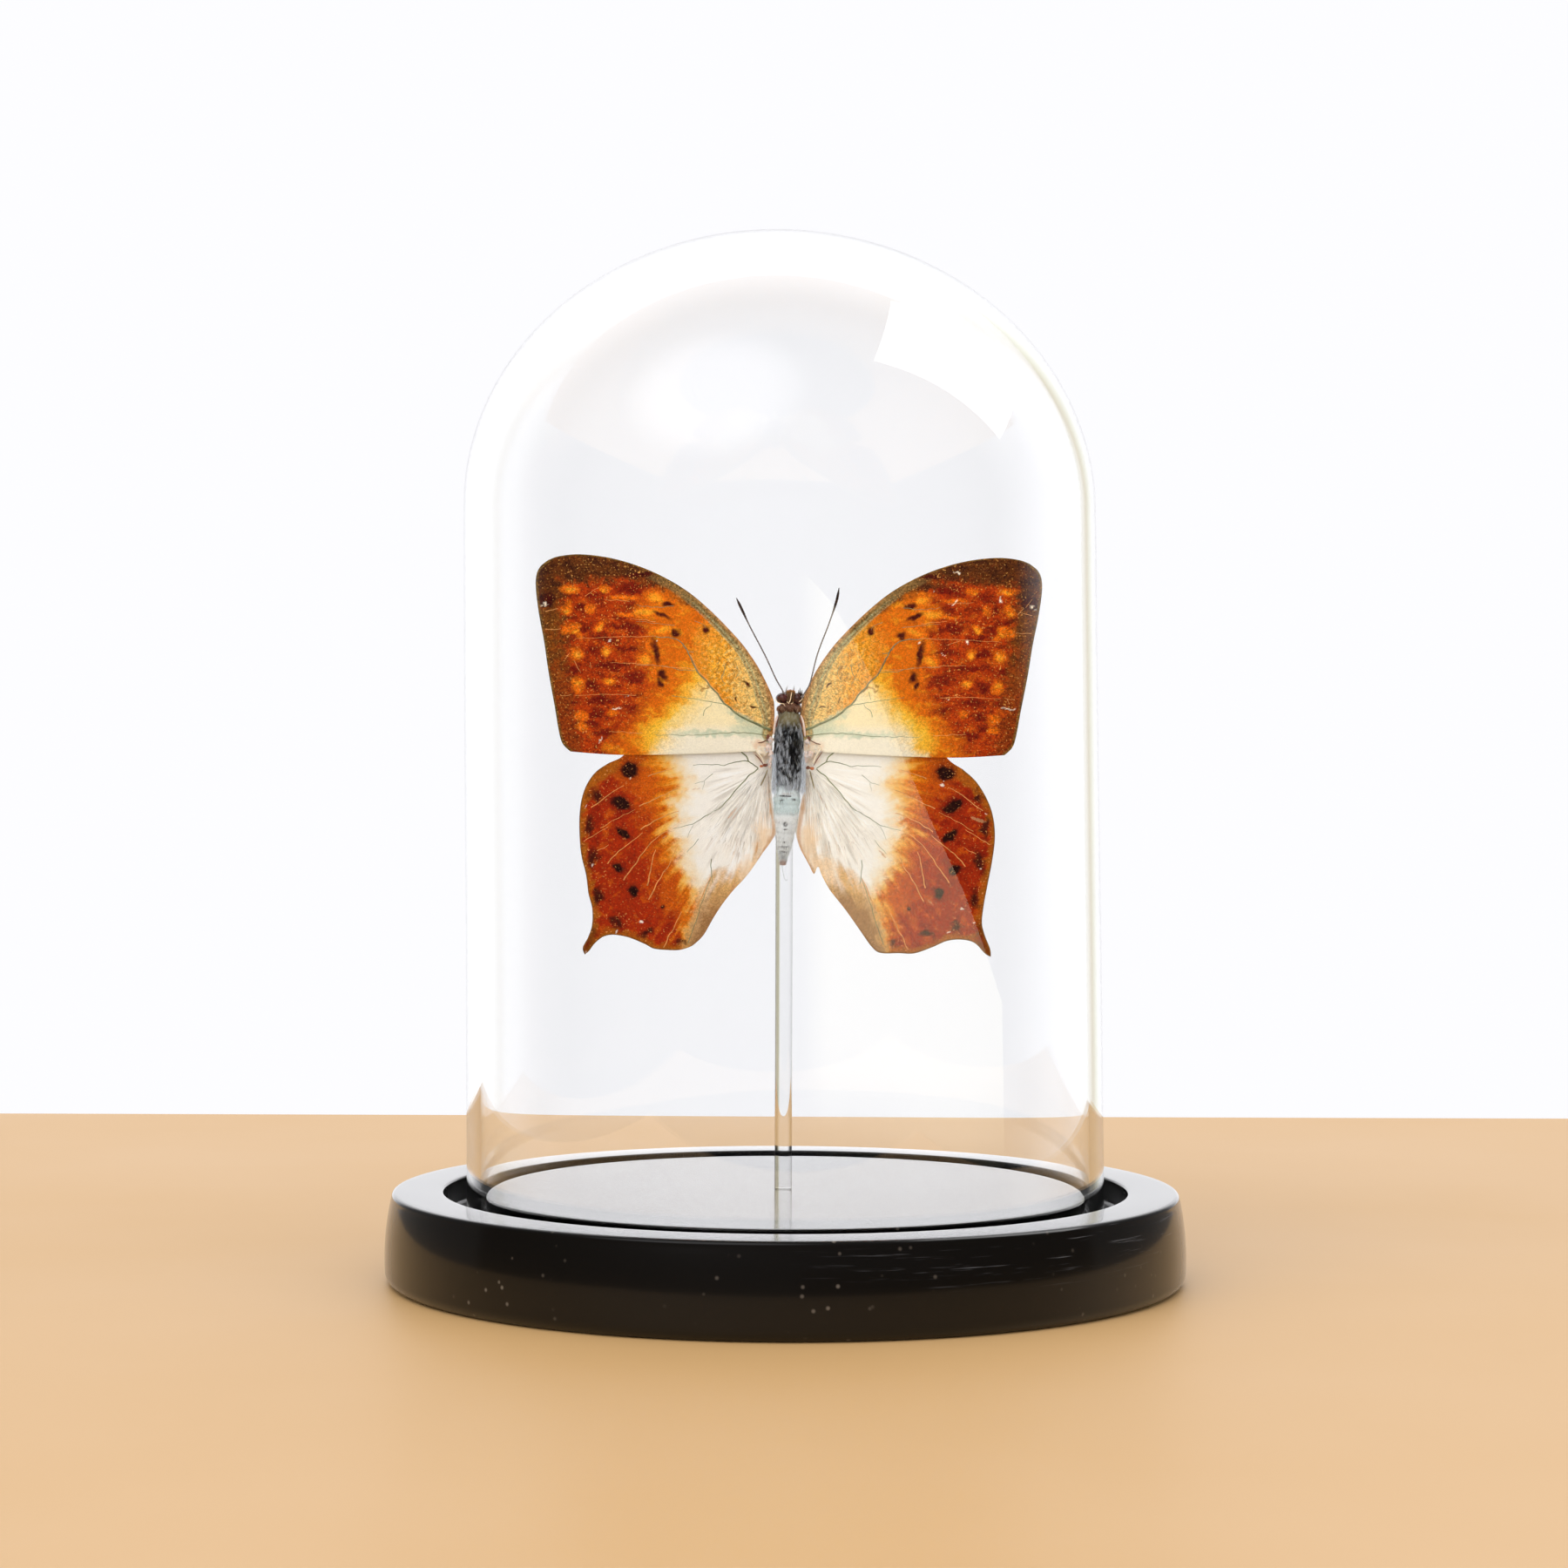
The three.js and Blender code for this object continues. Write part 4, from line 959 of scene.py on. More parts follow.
def hindwing_masks(u, v, outline, left):
    seed = 180 if left else 220
    wu, wv = warped(u, v, seed)
    su, sv = warped(u, v, seed + 40, 0.5)
    outer = distance_to_curve(u, v, outline["outer"] + outline["trail"][:-12:-1], 160)
    inward = distance_to_curve(u, v, outline["root"] + outline["trail"][1:4], 60)
    flecks = HIND_FLECKS + (HIND_FLECKS_LEFT if left else HIND_FLECKS_RIGHT)
    # Everything beyond the pale part is drawn out along the veins, which fan out from the root.
    turn, reach = np.arctan2(v + 2.5, u - 2.6), np.hypot(u - 2.6, v + 2.5)
    fan = ripples(turn * 16, reach / 9, 1.0, seed + 3) + 0.5 * ripples(turn * 44, reach / 4, 1.0, seed + 4)
    white = beyond(wu + 0.9 * fan, wv, HIND_WHITE, 2.4)
    cloud = 0.7 * fan + 0.8 * ripples(wu, wv, 2.6, seed + 9) + 0.5 * ripples(wu, wv, 1.1, seed + 10)
    field = beyond(wu + 0.8 * cloud, wv, HIND_RED, 4.0)
    # The tan fold between the pale field and the body's side, with its edge drawn out in hairs.
    silk = ripples(turn * 9, reach / 9, 1.0, seed + 5) + 0.7 * ripples(turn * 26, reach / 7, 1.0, seed + 6)
    fold = (1 - beyond(wu + 0.4 * silk, wv, HIND_ANAL, 2.2)) * fade(v + 1.2 * silk, -23.0, -14.0)
    rim = 0.8 + 1.0 * smoothstep(v, -10, -4) + 0.3 * ripples(u, v, 1.4, seed + 12)
    inner = fade(u, 9, 15) * smoothstep(reach, 1.5, 5) * fade(v, -4.5, -1.5)
    tip = oval_mask(wu, wv, [(30.8, -29.5, 1.5, 3.2, 0)], 0.5)
    top = smoothstep(v, -13, -3)
    return {
        "darker": smoothstep(cloud, 0.1, 1.6) * field * 0.8,
        "lighter": smoothstep(-cloud, 0.3, 1.6) * field * 0.7,
        "orange": white * (1 - field),
        "amber": (1 - beyond(wu - 0.9 + 0.9 * fan, wv, HIND_WHITE, 2.6)) * smoothstep(u, 9, 15),
        "yellow": (1 - beyond(wu + 0.1 + 1.0 * top + 0.9 * fan, wv, HIND_WHITE, 2.2)) * smoothstep(u, 8, 14),
        "straw": 1 - beyond(wu + 1.2 + 1.3 * top, wv, HIND_WHITE, 3.0),
        "cream": 1 - beyond(wu + 1.9 + 1.8 * top, wv, HIND_WHITE, 3.0),
        # Painted shade and painted highlights lie in soft streaks over the inner part, as the light and shade
        # of its silky folds.
        "shadow": smoothstep(-silk, 0.0, 1.5) * inner,
        "gloss": smoothstep(silk, 0.2, 1.2) * inner,
        "fold": fold,
        "tan": np.clip(fold * smoothstep(-v, 20, 27) + 0.5 * fold * smoothstep(silk, 0.0, 1.0), 0, 1),
        "peach": 0.8 * oval_mask(wu, wv, HIND_PEACH, 1.0),
        # Tan hair along the inner edge, darkened by painted shadow where the wing meets the abdomen.
        "hairband": fade(inward, 0.05, 0.6 + 0.25 * silk) * smoothstep(-v, 3, 8) * 0.7,
        "margin": fade(outer, rim - 0.7, rim + 0.7) * smoothstep(u, 15.2, 17),
        "fringe": fade(outer, 0.05, 0.35),
        "halo": oval_mask(su, sv, [(a, b, 1.35 * c, 1.4 * d, e) for a, b, c, d, e in HIND_EYES], 0.7) * 0.8,
        "blotch": oval_mask(wu, wv, HIND_SMUDGES, 0.8),
        "black": np.maximum(oval_mask(su, sv, HIND_EYES, 0.3), 0.5 * tip),
        "fleck": oval_mask(wu, wv, flecks, 0.4),
        "specks": np.clip(white * (1 - fold) * (0.45 + 0.55 * fade(outer, 0, 6)), 0, 1),
        "grain": np.clip(0.06 + 0.45 * white + 0.3 * fold, 0, 1),
        "crackle": 0.3 * white,
    }


def wing_scales(name, ground, layers, speck):
    """Dry scales on a membrane. Each layer is [mask, colour, raggedness]: where its mask holds, its scales
    cover the ones below, and stray scales break up its edge. Scales are 0.1 mm long, drawn at 0.2 mm. Some
    have rubbed off, and leave pale specks, and fine wrinkles show where the membrane has dried."""
    material, add = new_material(name)
    masks = {key: add("Attribute", attribute_name=key).outputs["Fac"]
             for key in [layer[0] for layer in layers] + ["crackle", "grain", "specks"]}
    place = add("TexCoord").outputs["Object"]
    ragged = add("TexNoise", {"Vector": place, "Scale": 2100.0, "Detail": 3.0, "Roughness": 0.65})
    drift = add("TexNoise", {"Vector": place, "Scale": 520.0, "Detail": 2.0})
    stray = add("Math", [ragged, drift], operation="ADD")
    colour = ground
    for key, paint, amount in layers:
        edge = add("Math", [stray, amount, -amount], operation="MULTIPLY_ADD")
        both = add("Math", [masks[key], edge], operation="ADD")
        share = add("MapRange", [both, 0.04, 0.96])
        cover = add("Math", [masks[key], 3.0], **TIMES, use_clamp=True)
        lift = add("Math", [share, cover], **TIMES)
        colour = add("Mix", {0: lift, 6: colour, 7: paint}, **PAINT)
    # Wrinkles: broken dark lines about 1.3 mm apart.
    bent = add("VectorMath", [drift.outputs["Color"], [0.0011] * 3, place], operation="MULTIPLY_ADD")
    crack = add("TexVoronoi", {"Vector": bent, "Scale": 760.0}, feature="DISTANCE_TO_EDGE")
    line = add("MapRange", [crack, 0.055, 0.01])
    part = add("MapRange", [ragged, 0.42, 0.6, 0.0, 0.55])
    seen = add("Math", [line, part], **TIMES)
    share = add("Math", [seen, masks["crackle"]], **TIMES, use_clamp=True)
    colour = add("Mix", {0: share, 6: colour, 7: "#7a4a1c"}, **PAINT)
    # Each scale is a little lighter or darker than the next.
    scale = add("TexVoronoi", {"Vector": place, "Scale": 5200.0})
    tone = add("SeparateColor", [scale.outputs["Color"]])
    mottle = add("TexNoise", {"Vector": place, "Scale": 3300.0, "Detail": 3.0, "Roughness": 0.75})
    shade = add("Math", [tone, mottle], operation="ADD")
    apart = add("Math", [shade, 1.0], operation="SUBTRACT")
    value = add("Math", [apart, masks["grain"], 1.0], operation="MULTIPLY_ADD")
    colour = add("HueSaturation", {"Value": value, "Color": colour})
    # Pale specks where scales are gone.
    dust = add("TexNoise", {"Vector": place, "Scale": 3600.0, "Detail": 1.0, "Roughness": 0.4})
    near = add("MapRange", [dust, 0.64, 0.74])
    few = add("MapRange", [drift, 0.3, 0.6, 0.25])
    bare = add("Math", [near, few], **TIMES)
    share = add("Math", [bare, masks["specks"]], **TIMES, use_clamp=True)
    colour = add("Mix", {0: share, 6: colour, 7: speck}, **PAINT)
    bump = add("Bump", {"Height": tone.outputs["Green"], "Strength": 0.25, "Distance": 0.00002})
    skin = add("BsdfPrincipled", {"Base Color": colour, "Roughness": 0.72, "IOR": 1.45,
               "Specular IOR Level": 0.07, "Normal": bump})
    add("OutputMaterial", [skin])
    return material


def vein_skin(name, dark, pale):
    """The wings' veins are horny tubes. They are olive near the body and worn pale further out."""
    material, add = new_material(name)
    tone = add("Attribute", attribute_name="tone").outputs["Fac"]
    place = add("TexCoord").outputs["Object"]
    wear = add("TexNoise", {"Vector": place, "Scale": 1800.0, "Detail": 3.0})
    paint = add("Mix", {0: tone, 6: dark, 7: pale}, **PAINT)
    value = add("MapRange", [wear, 0.3, 0.7, 0.65, 1.3])
    paint = add("HueSaturation", {"Value": value, "Color": paint})
    skin = add("BsdfPrincipled",
               {"Base Color": paint, "Roughness": 0.5, "IOR": 1.54, "Specular IOR Level": 0.3})
    add("OutputMaterial", [skin])
    return material


class INSECT_OT_wings(bpy.types.Operator):
    """Makes the four wings, with their marks, veins, scales and silky hair"""
    bl_idname = "insect.wings"
    bl_label = "Wings"

    ROWS, COLUMNS = 191, 231

    def execute(self, context):
        settings = context.scene.dome_wings
        vein = vein_skin("wing_vein", "#858a60", "#e8a050")
        silk = fur("wing_silk", "#e6dfd2", "#fffdf6", "#c59f70")
        fore = [self.fore_scales(settings, False), self.fore_scales(settings, True), vein, silk]
        hind = [self.hind_scales(settings, False), self.hind_scales(settings, True), vein, silk]
        for side, name in ((-1, "left"), (1, "right")):
            scratches = FORE_SCRATCHES_LEFT if side < 0 else FORE_SCRATCHES_RIGHT
            self.make_wing(f"Forewing_{name}", FOREWING, side, -WING_SPACING / 2, forewing_masks, fore,
                           FORE_DARK_VEINS, FORE_PALE_VEINS + scratches, settings)
            outline = HINDWING_LEFT if side < 0 else HINDWING_RIGHT
            self.make_wing(f"Hindwing_{name}", outline, side, WING_SPACING / 2, hindwing_masks, hind,
                           HIND_DARK_VEINS, HIND_PALE_VEINS, settings)
        return {"FINISHED"}

    def fore_scales(self, settings, under):
        if under:  # the underside is duller, brown and grey
            layers = [("darker", "#5a3a22", 0.5), ("orange", "#a8733c", 0.6), ("yellow", "#c2a068", 0.5),
                      ("gold", "#b98f52", 0.5), ("cream", "#cfc19a", 0.5), ("margin", "#6b4a2c", 0.5),
                      ("costa", "#8d7548", 0.3), ("spot", "#b9722f", 0.5), ("black", "#3a2517", 0.4),
                      ("dark_vein", "#6d7350", 0.2), ("fringe", "#a08a5c", 0.3)]
            return wing_scales("dry_scales_forewing_underside", "#7d4f2a", layers, "#c9b68c")
        layers = [("lighter", "#d0600a", 0.5), ("darker", "#862404", 0.7), ("blotch", "#761604", 0.8),
                  ("orange", settings.orange, 0.9), ("streak", "#f0a01c", 0.35), ("amber", "#f59c12", 0.6),
                  ("yellow", "#fcc93c", 0.3), ("gold", "#f0a832", 0.8), ("honey", "#cc7a18", 0.8),
                  ("straw", "#e9c272", 0.5), ("cream", "#fbe8b6", 0.15), ("ivory", "#f6ecd2", 0.15),
                  ("sage", "#bccaaa", 0.2), ("peach", "#eccfae", 0.3), ("wrinkle", "#a8712c", 0.3),
                  ("margin", settings.margin, 0.9), ("umber", "#4a220c", 0.8), ("rust", "#963808", 0.7),
                  ("costa", "#86693a", 0.5), ("costa_gold", "#d2b070", 0.4), ("costa_rim", "#b5834e", 0.3),
                  ("spot", "#e87008", 0.7), ("heart", "#f89f20", 0.6), ("black", "#4a0f05", 0.6),
                  ("dark_vein", "#a9a878", 0.4), ("fringe", "#7a5a26", 0.9), ("fleck", "#fff0d0", 0.1)]
        return wing_scales("dry_scales_forewing", "#b43a04", layers, "#f0a850")

    def hind_scales(self, settings, under):
        if under:
            layers = [("orange", "#a97a44", 0.5), ("yellow", "#c8ae78", 0.4), ("cream", "#d9ceb0", 0.4),
                      ("fold", "#a08258", 0.4), ("blotch", "#4a3222", 0.5), ("margin", "#8a6236", 0.5),
                      ("black", "#3a241a", 0.3), ("fringe", "#b3a074", 0.3)]
            return wing_scales("dry_scales_hindwing_underside", "#7a4526", layers, "#cbb890")
        layers = [("darker", "#901f03", 0.7), ("lighter", "#cc5408", 0.6), ("orange", "#cc5a06", 0.8),
                  ("amber", "#ef9014", 0.6), ("yellow", "#f7bf58", 0.4), ("straw", "#f5dca6", 0.3),
                  # Over the silky inner part, the white is a painted highlight and the grey is a painted
                  # shade.
                  ("cream", settings.cream, 0.25), ("gloss", "#fffdf6", 0.2), ("shadow", "#dcd5c8", 0.3),
                  ("fold", "#dfae6c", 0.4), ("tan", "#a87a4c", 0.5), ("peach", "#f2cfa2", 0.15),
                  # The band along the inner edge is tan hair with painted shadow beside the abdomen.
                  ("hairband", "#cf9a66", 0.5), ("margin", "#b05e10", 0.8), ("halo", "#7c1c06", 0.7),
                  ("blotch", "#4c1606", 0.9), ("black", "#2a0902", 0.3), ("fringe", "#8a5a22", 0.5),
                  ("fleck", "#fff0d8", 0.1)]
        return wing_scales("dry_scales_hindwing", settings.red, layers, "#f0a458")

    def make_wing(self, name, outline, side, behind, masks_of, materials, dark_veins, pale_veins, settings):
        rows, columns = self.ROWS, self.COLUMNS
        out, down = np.linspace(0, 1, columns), np.linspace(0, 1, rows)
        lead, trail = spline(outline["lead"], out), spline(outline["trail"], out)
        root, outer = spline(outline["root"], down), spline(outline["outer"], down)
        s, t = out[None, :, None], down[:, None, None]
        flat = ((1 - t) * lead[None] + t * trail[None] + (1 - s) * root[:, None] + s * outer[:, None]
                - (1 - s) * (1 - t) * lead[0] - s * (1 - t) * lead[-1]
                - (1 - s) * t * trail[0] - s * t * trail[-1])
        # The root runs on a little under the body's fur.
        u = flat[..., 0] - 0.45 * fade(s[..., 0], 0, 0.1)
        v = flat[..., 1]
        # The whole sheet is gently wavy.
        wave = lambda u, v: (0.07 * np.sin(u / 3.1 + side) * np.sin(v / 4.3)
                             + 0.05 * np.sin(0.9 * u - 0.7 * v))
        s, t = s[..., 0], t[..., 0]
        edge = np.minimum(np.minimum(s, 1 - s) * columns, np.minimum(t, 1 - t) * rows)
        thickness = settings.thickness / MM
        half = thickness / 2 * (0.25 + 0.75 * smoothstep(edge, 0, 6))
        middle = behind - DIHEDRAL * u - wave(u, v)
        x = side * u + WING_SHIFT
        upper = np.stack([x, middle - half, v], -1)
        lower = np.stack([x, middle + half, v], -1)[::2, ::2]
        number = np.arange(rows * columns).reshape(rows, columns)
        below = rows * columns + np.arange(lower.shape[0] * lower.shape[1]).reshape(lower.shape[:2])
        ring = lambda grid: np.concatenate([grid[0, :-1], grid[:-1, -1], grid[-1, :0:-1], grid[:0:-1, 0]])
        fine, coarse = ring(number), ring(below)
        rim = np.stack([fine[::2], np.roll(fine, -1)[::2], np.roll(fine, -2)[::2],
                        np.roll(coarse, -1), coarse], -1)[:, ::-1]
        faces = [grid_faces(rows, columns), grid_faces(*lower.shape[:2])[:, ::-1] + rows * columns, rim]
        flip = slice(None, None, -1 if side > 0 else 1)
        masks = masks_of(u, v, outline, side < 0)
        spread = {key: np.concatenate([m.ravel(), m[::2, ::2].ravel()]) for key, m in masks.items()}
        shell = Shell()
        points = np.vstack([upper.reshape(-1, 3), lower.reshape(-1, 3)])
        shell.add(points, [group[:, flip] for group in faces], [0, 1, 0], **spread)
        surface = lambda u, v: behind - DIHEDRAL * u - wave(u, v) - thickness / 2
        for tone, veins in ((0.0, dark_veins), (1.0, pale_veins)):
            for width, path in veins:
                line = spline(path, np.linspace(0, 1, 6 * len(path)))
                line += 0.06 * np.stack([ripples(*line.T, 1.6, seed) for seed in (7, 8)], -1)
                place = np.stack([side * line[:, 0] + WING_SHIFT, surface(*line.T) + 0.01, line[:, 1]], -1)
                size = lambda share: (0.72 + 0.2 * tone) * width * (1 - 0.45 * share)
                points, groups, _ = tube(place, size, size, 6, (0, 1, 0), 8 * len(path))
                shell.add(points, groups, 2, tone=tone)
        if outline is not FOREWING:
            self.silk(shell, surface, side)
        shell.build(name, materials, [name.lower()], BUTTERFLY)

    def silk(self, shell, surface, side):
        """Long silky hair lies on the hindwing's inner part, and fans out from its root."""
        rng = np.random.default_rng(300 + side)
        count = 800
        turn = np.radians(rng.uniform(-97, -38, count))
        reach = rng.uniform(1.0, 14.5, count)
        u, v = 2.9 + reach * np.cos(turn), -2.6 + reach * np.sin(turn)
        kept = (u > 2.7 - 0.05 * (v + 13)) & (v > -17)
        turn, u, v = turn[kept], u[kept], v[kept]
        count = len(u)
        aim = turn + rng.normal(0, 0.07, count) - 0.12
        length = rng.uniform(1.6, 4.2, count)
        far_u, far_v = u + length * np.cos(aim), v + length * np.sin(aim)
        inside = far_u > 2.5 + 0.68 * np.maximum(0, -12.6 - far_v)
        u, v, far_u, far_v, length = (values[inside] for values in (u, v, far_u, far_v, length))
        count = len(u)
        start = np.stack([side * u + WING_SHIFT, surface(u, v) - 0.02, v], -1)
        end = np.stack([side * far_u + WING_SHIFT, surface(far_u, far_v) - 0.03, far_v], -1)
        bend = np.stack([0 * u, np.full(count, -0.03), 0 * u], -1)
        # Hairs lower down are tan. Those rooted in a strip along the inner edge are tinted tan as well, as a
        # painted shadow line beside the abdomen.
        brown = smoothstep(-v, 9, 17) * rng.uniform(0, 0.8, count)
        brown += 0.5 * (np.abs(u - 3.1) < 0.5) * rng.random(count)
        hairs(shell, start, end - start - bend, length, rng.uniform(0.05, 0.09, count), bend, 3, rng, steps=4,
              pale=scattered(rng, 0.75, 0.25, count), olive=brown, shade=rng.uniform(0.3, 1, count))


# ---------------------------------------------------------------- the body

THORAX_AXIS = [(-0.1, 0.4, -6.1), (-0.13, 0.4, 0), (-0.15, 0.4, 6.3)]
ABDOMEN_AXIS = [
    (-0.3, 0.3, -5.6), (-0.45, 0.5, -9.5), (-0.6, 0.8, -12.5), (-0.8, 1.1, -15.5), (-0.95, 1.4, -18.1)]
ABDOMEN_RINGS = 8.5


def fullness(share):
    """The blunt outline of the thorax: full along its middle, and closed at both ends."""
    return (1 - np.abs(2 * np.clip(share, 0.004, 0.996) - 1) ** 4.4) ** (1 / 2.8)


def thorax_width(share):
    return np.maximum(0.25, (2.4 - 0.42 * share) * fullness(share))


def thorax_depth(share):
    return np.maximum(0.25, 2.75 * fullness(share))


def abdomen_size(share):
    """The abdomen narrows to its tip in rings, each one tucked under the next."""
    waist = 0.72 + 0.28 * smoothstep(share, 0, 0.15)
    taper = 1 - 0.36 * share - 0.50 * share ** 3.0
    return 2.12 * waist * taper * (1 + 0.035 * np.sin(pi * ((share * ABDOMEN_RINGS) % 1)) ** 0.7)


def fur(name, dark, pale, olive, tint=None):
    """Fine hair-scales. Each hair has its own shade, and is a little lighter at its tip. A tint cools the
    places that its mask names."""
    material, add = new_material(name)
    masks = {key: add("Attribute", attribute_name=key).outputs["Fac"]
             for key in ("pale", "olive", "along", "shade") + (("tint",) if tint else ())}
    colour = add("Mix", {0: masks["pale"], 6: dark, 7: pale}, **PAINT)
    colour = add("Mix", {0: masks["olive"], 6: colour, 7: olive}, **PAINT)
    tip = add("MapRange", [masks["along"], 0.0, 1.0, 0.75, 1.2])
    own = add("MapRange", [masks["shade"], 0.0, 1.0, 0.6, 1.4])
    value = add("Math", [tip, own], **TIMES)
    colour = add("HueSaturation", {"Value": value, "Color": colour})
    if tint:
        share = add("Math", [masks["tint"], 0.75], **TIMES)
        colour = add("Mix", {0: share, 6: colour, 7: tint}, **PAINT, blend_type="MULTIPLY")
    skin = add("BsdfPrincipled",
               {"Base Color": colour, "Roughness": 0.6, "IOR": 1.5, "Specular IOR Level": 0.2})
    add("OutputMaterial", [skin])
    return material


def chitin(name, colour, light, roughness):
    """Hard insect skin: a smooth horny shell with fine wrinkles and a waxy gloss."""
    material, add = new_material(name)
    place = add("TexCoord").outputs["Object"]
    cloud = add("TexNoise", {"Vector": place, "Scale": 1400.0, "Detail": 4.0, "Roughness": 0.6})
    paint = add("Mix", {0: cloud, 6: colour, 7: light}, **PAINT)
    fine = add("TexNoise", {"Vector": place, "Scale": 9000.0, "Detail": 2.0})
    bump = add("Bump", {"Height": fine, "Strength": 0.3, "Distance": 0.00003})
    skin = add("BsdfPrincipled", {"Base Color": paint, "Roughness": roughness, "IOR": 1.54, "Normal": bump})
    add("OutputMaterial", [skin])
    return material


def streaks(x, v, rng):
    """How pale the thorax's fur is. It lies in clumps, paler on the left and black on the right, and comes to
    a point over blue-grey hair."""
    bent = x * (1 + 0.05 * (v + 6))
    clump = 0.6 * ripples(bent * 2.6, v * 0.75, 1.0, 61) + 0.45 * ripples(bent * 6.0, v * 1.5, 1.0, 62)
    tone = 0.2 + 0.75 * clump + 0.3 * bell(x, -1.6, 0.6) + 0.45 * bell(x, -0.4, 0.1)
    tone += 0.25 * bell(x, 1.75, 0.3)
    tone -= 0.75 * oval_mask(x, v, [(0.75, 0.0, 0.75, 2.7, 0), (-0.7, 2.7, 0.45, 1.5, 0)], 0.5)
    tone += 0.5 * oval_mask(x, v, [(1.6, 3.0, 0.35, 1.1, 0), (-1.7, 3.2, 0.25, 1.0, 0)], 0.6)
    point = 1.15 * np.abs(x - 0.05)
    tail = smoothstep(-5.1 + point - v, -0.1, 0.35)
    dark_edge = bell(-5.3 + point - v, 0, 0.24) * (x < 0.4)
    dim = oval_mask(x, v, [(-2.0, -4.1, 0.3, 0.6, 20), (1.0, -4.7, 0.5, 0.45, 0),
                           (-0.8, -5.55, 1.1, 0.14, 8)], 0.6)
    rear = 1.0 + 0.4 * clump - 0.7 * dim
    tone = tone * (1 - tail) + rear * tail - 0.9 * dark_edge
    return np.clip(tone + rng.normal(0, 0.13, x.shape), 0, 1)


class INSECT_OT_thorax(bpy.types.Operator):
    """Makes the thorax, its fur and the wings' joints"""
    bl_idname = "insect.thorax"
    bl_label = "Thorax"

    # Lumps beside the thorax, for the left and right, as [x, y, up, half width, half depth, half height,
    # kind]. Kinds are numbers in the list of finishes below.
    LUMPS = {
        -1: [(-3.0, -1.1, 1.35, 0.36, 0.3, 0.48, 4), (-3.35, -0.9, 1.7, 0.3, 0.25, 0.5, 2),
             (-4.25, -0.7, -0.35, 1.0, 0.25, 0.7, 3), (-3.3, -0.95, 0.1, 0.5, 0.3, 0.6, 4),
             (-3.75, -0.85, -2.5, 0.42, 0.22, 0.28, 2), (-4.4, -0.8, -2.75, 0.28, 0.15, 0.18, 5),
             (-3.1, -1.1, -2.4, 0.3, 0.3, 0.7, 4), (-2.9, -1.1, -1.0, 0.35, 0.3, 0.9, 4)],
        1: [(2.65, -1.1, 1.1, 0.32, 0.3, 0.5, 4), (2.95, -0.9, 1.6, 0.28, 0.25, 0.45, 2),
            (3.9, -0.7, 0.0, 0.95, 0.25, 0.7, 3), (3.2, -0.9, -0.8, 0.42, 0.25, 0.6, 4),
            (3.4, -0.85, -2.95, 0.36, 0.2, 0.24, 5), (2.85, -0.95, -2.9, 0.3, 0.25, 0.3, 2),
            (2.5, -1.1, -1.2, 0.3, 0.3, 0.9, 4)],
    }
    # Ridges, as [half width, kind, points].
    RIDGES = [
        (0.17, 3, [(-5.1, -0.75, -0.55), (-4.5, -0.95, -1.2), (-3.95, -1.0, -2.2)]),
        (0.1, 2, [(-5.4, -0.7, -0.9), (-4.7, -0.85, -1.6), (-4.1, -0.9, -2.4)]),
        (0.1, 2, [(-5.0, -0.7, 0.9), (-4.2, -0.85, 1.05), (-3.4, -1.0, 1.5)]),
        (0.14, 6, [(-3.4, -0.95, -3.2), (-3.75, -0.85, -4.1), (-4.5, -0.8, -5.8)]),
        (0.17, 3, [(4.9, -0.75, 0.2), (4.1, -0.9, -1.0), (3.6, -0.95, -2.3)]),
        (0.1, 2, [(5.1, -0.7, -0.3), (4.3, -0.85, -1.5), (3.7, -0.9, -2.6)]),
        (0.1, 2, [(4.8, -0.7, 0.75), (4.0, -0.85, 0.95), (3.1, -1.0, 1.4)]),
        (0.14, 6, [(3.1, -0.95, -3.3), (3.4, -0.85, -4.4), (3.85, -0.8, -6.2)]),
        # The plates over the forewings' roots, each with a dark line along its inner side.
        (0.2, 4, [(-1.85, -1.5, 5.3), (-2.25, -1.5, 4.4), (-2.45, -1.4, 3.2), (-2.5, -1.2, 2.2)]),
        (0.12, 2, [(-1.75, -1.6, 4.9), (-2.0, -1.7, 4.2), (-2.15, -1.6, 3.3)]),
        (0.2, 4, [(1.6, -1.5, 5.3), (1.95, -1.5, 4.4), (2.2, -1.4, 3.2), (2.35, -1.2, 1.9)]),
        (0.12, 2, [(1.5, -1.6, 4.9), (1.7, -1.7, 4.2), (1.88, -1.6, 3.3)]),
    ]

    # Brown lobes behind the head, as [centre, radii]. The three small ones carry a few pale scales.
    LOBES = [((-1.35, -0.5, 6.2), (0.78, 1.1, 0.62)), ((-0.05, -0.9, 6.25), (0.7, 1.0, 0.62)),
             ((1.05, -0.5, 6.2), (0.72, 1.1, 0.62)), ((-0.15, -0.2, 6.3), (1.85, 1.2, 0.9))]

    def execute(self, context):
        settings = context.scene.dome_body
        rng = np.random.default_rng(11)
        shell = Shell()
        points, faces, _ = tube(THORAX_AXIS, thorax_width, thorax_depth, 48, rings=56)
        x, v = points[:, 0], points[:, 2]
        collar = smoothstep(v, 3.0, 4.6)
        shell.add(points, faces, 0, pale=0.6 * streaks(x, v, rng), olive=0.7 * collar, along=0.2, shade=0.4)
        count = settings.thorax_hairs
        share = rng.beta(1.05, 1.05, count)
        angle = rng.uniform(0, 2 * pi, count)
        roots, outward, forward = limb_points(THORAX_AXIS, thorax_width, thorax_depth, share, angle)
        x, v = roots[:, 0], roots[:, 2]
